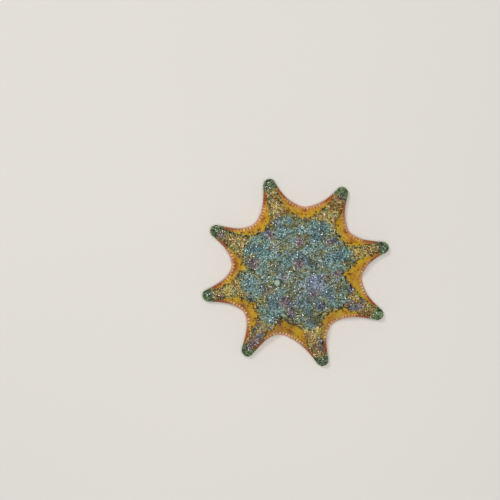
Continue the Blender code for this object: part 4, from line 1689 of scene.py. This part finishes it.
def newMaterial(name, look):  # a wet surface; the caller gives its colour
    material = bpy.data.materials.new(name)
    material.use_nodes = True
    tree = material.node_tree
    shader = tree.nodes["Principled BSDF"].inputs
    wet = useGroup(tree, wetGroup, Scale=look["grain"], Dry=look["dry"], Wet=look["wet"])
    feed(shader["Roughness"], wet["Roughness"])
    shader["Specular IOR Level"].default_value = look.get("specular", 0.5)
    shader["Coat Weight"].default_value = look["coat"]
    shader["Coat Roughness"].default_value = look["coatRoughness"]
    given = {"Strength": look["bump"], "Distance": look["bumpDepth"] * mm, "Height": wet["Height"]}
    if "flat" in look:  # a film of water flattens each granule
        given["Normal"] = useGroup(tree, filmGroup, Flat=look["flat"])["Normal"]
    feed(shader["Normal"], addNode(tree, "ShaderNodeBump", given).outputs["Normal"])
    return material, tree, shader["Base Color"]


def marked(tree, grain=None, height=None):  # markings at a granule of its plate's tone and its own
    grain = attribute(tree, "grainTone") if grain is None else grain
    height = attribute(tree, "grainHeight") if height is None else height
    return useGroup(tree, markingsGroup, Tone=attribute(tree, "plateTone"), Grain=grain, Height=height)


def makeSkinMaterial():
    look = {
        "grain": 5.0, "dry": 0.5, "wet": 0.28, "coat": 0.25, "coatRoughness": 0.18, "specular": 0.3,
        "bump": 0.7, "bumpDepth": 0.06, "edgeShade": 0.75, "mottle": (4.5, 3.0), "height": 0.25,
        "mouth": (1.1, 2.4),
    }
    material, tree, base = newMaterial("skin", look)
    # the skin takes the markings at a low height, so the painted shade by height darkens it too
    found = marked(tree, noise(attribute(tree, "place", "Vector"), *look["mottle"]), look["height"])
    under = attribute(tree, "under")
    onBack = inverse(under, clamp=True)
    # painted shade: the skin between the granules is multiplied darker, most in the furrows and least on the
    # crescents' ridges, over its own darker tone
    furrow = mixed(attribute(tree, "limb"), paint("furrow"), paint("limbFurrow"))
    shade = mixed(attribute(tree, "ridge"), furrow, paint("ridge"))
    low = mixed(1.0, found["Color"], shade, "MULTIPLY")
    colour = mixed(times(inverse(found["Orange"]), onBack), found["Color"], low)
    colour = mixed(times(times(found["Edge"], onBack), look["edgeShade"]), colour, paint("redBrown"))
    mouth = times(fallOff(fromCentre(tree), *look["mouth"]), under)
    feed(base, mixed(mouth, colour, paint("mouth")))
    return material


def makeGranuleMaterial():
    look = {
        "grain": 9.0, "dry": 0.45, "wet": 0.3, "specular": 0.25, "coat": 0.25, "coatRoughness": 0.06,
        "bump": 0.2, "bumpDepth": 0.03, "flat": 0.88,
        "rootPaintedShade": 0.5, "orangeRootShadeLift": 0.9,
        "edgeTurn": (21.2, 23.6), "edgeShades": (0.05, 0.75),  # distances out, and red-brown there
    }
    material, tree, base = newMaterial("granule", look)
    found = marked(tree)
    # painted shade: each granule is darker towards its root, and hardly at all on the orange
    light = spanned(rise(attribute(tree, "grainHeight"), 0.0, 0.8), look["rootPaintedShade"], 1.0)
    light = calc("MAXIMUM", light, times(found["Orange"], look["orangeRootShadeLift"]))
    far = rise(fromCentre(tree), *look["edgeTurn"])
    edge = times(found["Edge"], spanned(far, *look["edgeShades"]))
    feed(base, mixed(1.0, mixed(edge, found["Color"], paint("redBrown")), grey(light), "MULTIPLY"))
    return material


def makeGillMaterial():
    look = {
        "grain": 6.0, "dry": 0.22, "wet": 0.08, "specular": 0.9, "coat": 1.0, "coatRoughness": 0.04,
        "bump": 0.05, "bumpDepth": 0.02, "flat": 0.96, "height": 0.8, "tint": 0.3,
    }
    material, tree, base = newMaterial("gill", look)
    # gills take the markings as if near a granule's tip, so the painted light by height makes them paler
    feed(base, mixed(look["tint"], marked(tree, height=look["height"])["Color"], paint("lilacDark")))
    return material


def makeFringeMaterial():
    look = {
        "grain": 7.0, "dry": 0.5, "wet": 0.3, "specular": 0.25, "coat": 0.15, "coatRoughness": 0.08,
        "bump": 0.2, "bumpDepth": 0.03,
        "edgeTurn": (21.2, 23.6),  # distances from the centre between which it turns from pale to dark
        "paleRim": (1.0, 1.5), "pale": (0.95, 0.0), "paleTones": (0.25, 1.0), "warm": (0.1, 0.75),
        "tip": (0.1, 0.8), "redTurn": (0.35, 0.6), "redDark": 0.8,  # the spinelets are red at their ends
    }
    material, tree, base = newMaterial("fringe", look)
    found, far = marked(tree), rise(fromCentre(tree), *look["edgeTurn"])
    pale = times(fallOff(attribute(tree, "rimGap"), *look["paleRim"]), spanned(far, *look["pale"]))
    pale = times(pale, spanned(attribute(tree, "plateTone"), *look["paleTones"]))
    warm = mixed(times(found["Edge"], spanned(far, *look["warm"])), found["Color"], paint("redBrown"))
    tuft = mixed(pale, warm, paint("cream"))
    red = ramp(attribute(tree, "grainHeight"), *zip(look["redTurn"], ("cream", "red")))
    red = mixed(times(far, look["redDark"]), red, paint("redBrown"))
    red = mixed(rise(attribute(tree, "tip"), *look["tip"]), red, found["Color"])
    feed(base, mixed(attribute(tree, "fan"), tuft, red))
    return material


def makeUnderMaterial(name, low, high):
    look = {
        "grain": 6.0, "dry": 0.4, "wet": 0.16, "coat": 0.4, "coatRoughness": 0.1,
        "bump": 0.2, "bumpDepth": 0.03, "paintedHeightShare": 0.8, "toneShare": 0.3, "stops": (0.1, 0.95),
    }
    material, tree, base = newMaterial(name, look)
    height, own = attribute(tree, "grainHeight"), attribute(tree, "grainTone")
    # painted shade and light: each bud is darker at its root and paler towards its tip, with its own tone
    # mixed in
    tone = plus(times(height, look["paintedHeightShare"]), times(own, look["toneShare"]))
    feed(base, ramp(tone, *zip(look["stops"], (low, high))))
    return material


def makeSieveMaterial():
    look = {
        "grain": 9.0, "dry": 0.5, "wet": 0.3, "coat": 0.25, "coatRoughness": 0.15,
        "bump": 0.3, "bumpDepth": 0.02, "furrow": 0.45,
    }
    material, tree, base = newMaterial("sievePlate", look)
    # painted light and shade: paler towards the top of the dome and darker in its furrows
    colour = ramp(attribute(tree, "grainHeight"), (0.0, "mintDark"), (0.5, "mint"), (1.0, "mintPale"))
    feed(base, mixed(times(attribute(tree, "furrow"), look["furrow"]), colour, paint("mintDark")))
    return material


print("materials made")


def addBuds(name, batches, material):
    addPiece(name, budMesh(name, batches), material)


granuleMaterial = makeGranuleMaterial()
fringeMaterial = makeFringeMaterial()
fleshNodes = ["disc"] + [f"{part}_{arm + 1}" for part in ("arm", "tip") for arm in range(armCount)]
addPiece("skin", skinMesh, makeSkinMaterial(), fleshNodes)
pairs = armCount // 2  # opposite arms share a piece, so that each spans the star
for group, members in (("plates", tufts[:1]), ("smallPlates", tufts[1:])):
    for first in range(pairs):
        batches = [chosen(batch, arms % pairs == first) for batch, arms in members]
        addBuds(f"{group}_{first + 1}_{first + 1 + pairs}", batches, granuleMaterial)
addBuds("gills", [gillBatch()], makeGillMaterial())
addBuds("bandGranules", [bandBatch(), wallBatch()], granuleMaterial)
addBuds("fringe", fringeBatches(), fringeMaterial)
addBuds("tubeFeet", [tubeFeet()], makeUnderMaterial("tubeFoot", "tubeFoot", "tubeTip"))
spineMaterial = makeUnderMaterial("underSpine", "underCream", "underPale")
addBuds("grooveSpines", grooveSpines() + jawSpines(), spineMaterial)
addBuds("underSpines", [spreadSpines()], spineMaterial)
addBuds("eyeSpots", [eyeSpots()], makeUnderMaterial("eyeSpot", "eyeRed", "eyeRed"))
addPiece("sievePlate", sieveMesh(), makeSieveMaterial(), ["madreporite"])

# Floor, lights and camera.

stageLook = {
    "floorSize": 3.0,  # metres
    "floorGrain": (6.0, 0.97, 1.03), "floorRoughness": 0.9,
    "skyColour": (0.93, 0.96, 1.0, 1.0), "skySide": 0.32, "skyTop": 0.05,  # strength beside and overhead
    "skyTurn": (0.55, 0.95),
    "lights": (  # size, watts, place in metres
        (0.14, 1.4, (-0.26, 0.28, 0.6)),
        (0.13, 0.74, (0.14, 0.19, 0.68)),
        (0.13, 0.74, (0.22, -0.1, 0.67)),
        (0.13, 0.74, (-0.05, -0.21, 0.68)),
        (0.13, 0.74, (-0.22, -0.03, 0.67)),
    ),
    "lens": 85.0, "sensor": 36.0,
    "clip": (0.01, 10.0),
    "framed": 154.0,  # width of floor that the picture shows
    "aim": (-14.2, 6.8),  # middle of the picture, from the star's centre
}


def addFloor():
    half = stageLook["floorSize"] / 2
    mesh = bpy.data.meshes.new("floor")
    corners = [(-half, -half, 0.0), (half, -half, 0.0), (half, half, 0.0), (-half, half, 0.0)]
    mesh.from_pydata(corners, [], [(0, 1, 2, 3)])
    floor = bpy.data.objects.new("floor", mesh)
    material = bpy.data.materials.new("floor")
    material.use_nodes = True
    tree = material.node_tree
    shader = tree.nodes["Principled BSDF"].inputs
    scale, low, high = stageLook["floorGrain"]
    tint = spanned(noise(addNode(tree, "ShaderNodeTexCoord").outputs["Object"], scale), low, high)
    feed(shader["Base Color"], mixed(1.0, paint("floor"), grey(tint), "MULTIPLY"))
    shader["Roughness"].default_value = stageLook["floorRoughness"]
    mesh.materials.append(material)
    bpy.context.scene.collection.objects.link(floor)


def addLight(name, size, watts, place):
    data = bpy.data.lights.new(name, "AREA")
    data.shape = "DISK"
    data.size = size
    data.energy = watts
    light = bpy.data.objects.new(name, data)
    light.location = place
    light.rotation_mode = "QUATERNION"
    light.rotation_quaternion = (-Vector(place)).to_track_quat("-Z", "Y")
    light.visible_camera = False
    bpy.context.scene.collection.objects.link(light)


def addCamera():
    data = bpy.data.cameras.new("camera")
    data.lens, data.sensor_width = stageLook["lens"], stageLook["sensor"]
    camera = bpy.data.objects.new("camera", data)
    away = stageLook["framed"] * stageLook["lens"] / stageLook["sensor"]
    camera.location = Vector((*stageLook["aim"], away + body["edge"][0])) * mm
    data.clip_start, data.clip_end = stageLook["clip"]
    bpy.context.scene.collection.objects.link(camera)
    bpy.context.scene.camera = camera


def addSky():
    world = bpy.data.worlds.new("sky")
    world.use_nodes = True
    tree = world.node_tree
    sky = tree.nodes["Background"].inputs
    sky["Color"].default_value = stageLook["skyColour"]
    around = addNode(tree, "ShaderNodeTexCoord").outputs["Generated"]
    axes = addNode(tree, "ShaderNodeSeparateXYZ", {0: around})
    overhead = rise(axes.outputs["Z"], *stageLook["skyTurn"])
    feed(sky["Strength"], spanned(overhead, stageLook["skySide"], stageLook["skyTop"]))
    bpy.context.scene.world = world


addFloor()
for number, light in enumerate(stageLook["lights"]):
    addLight(f"light{number + 1}", *light)
addCamera()
addSky()
bpy.context.scene.view_settings.view_transform = "Standard"
print("stage set")
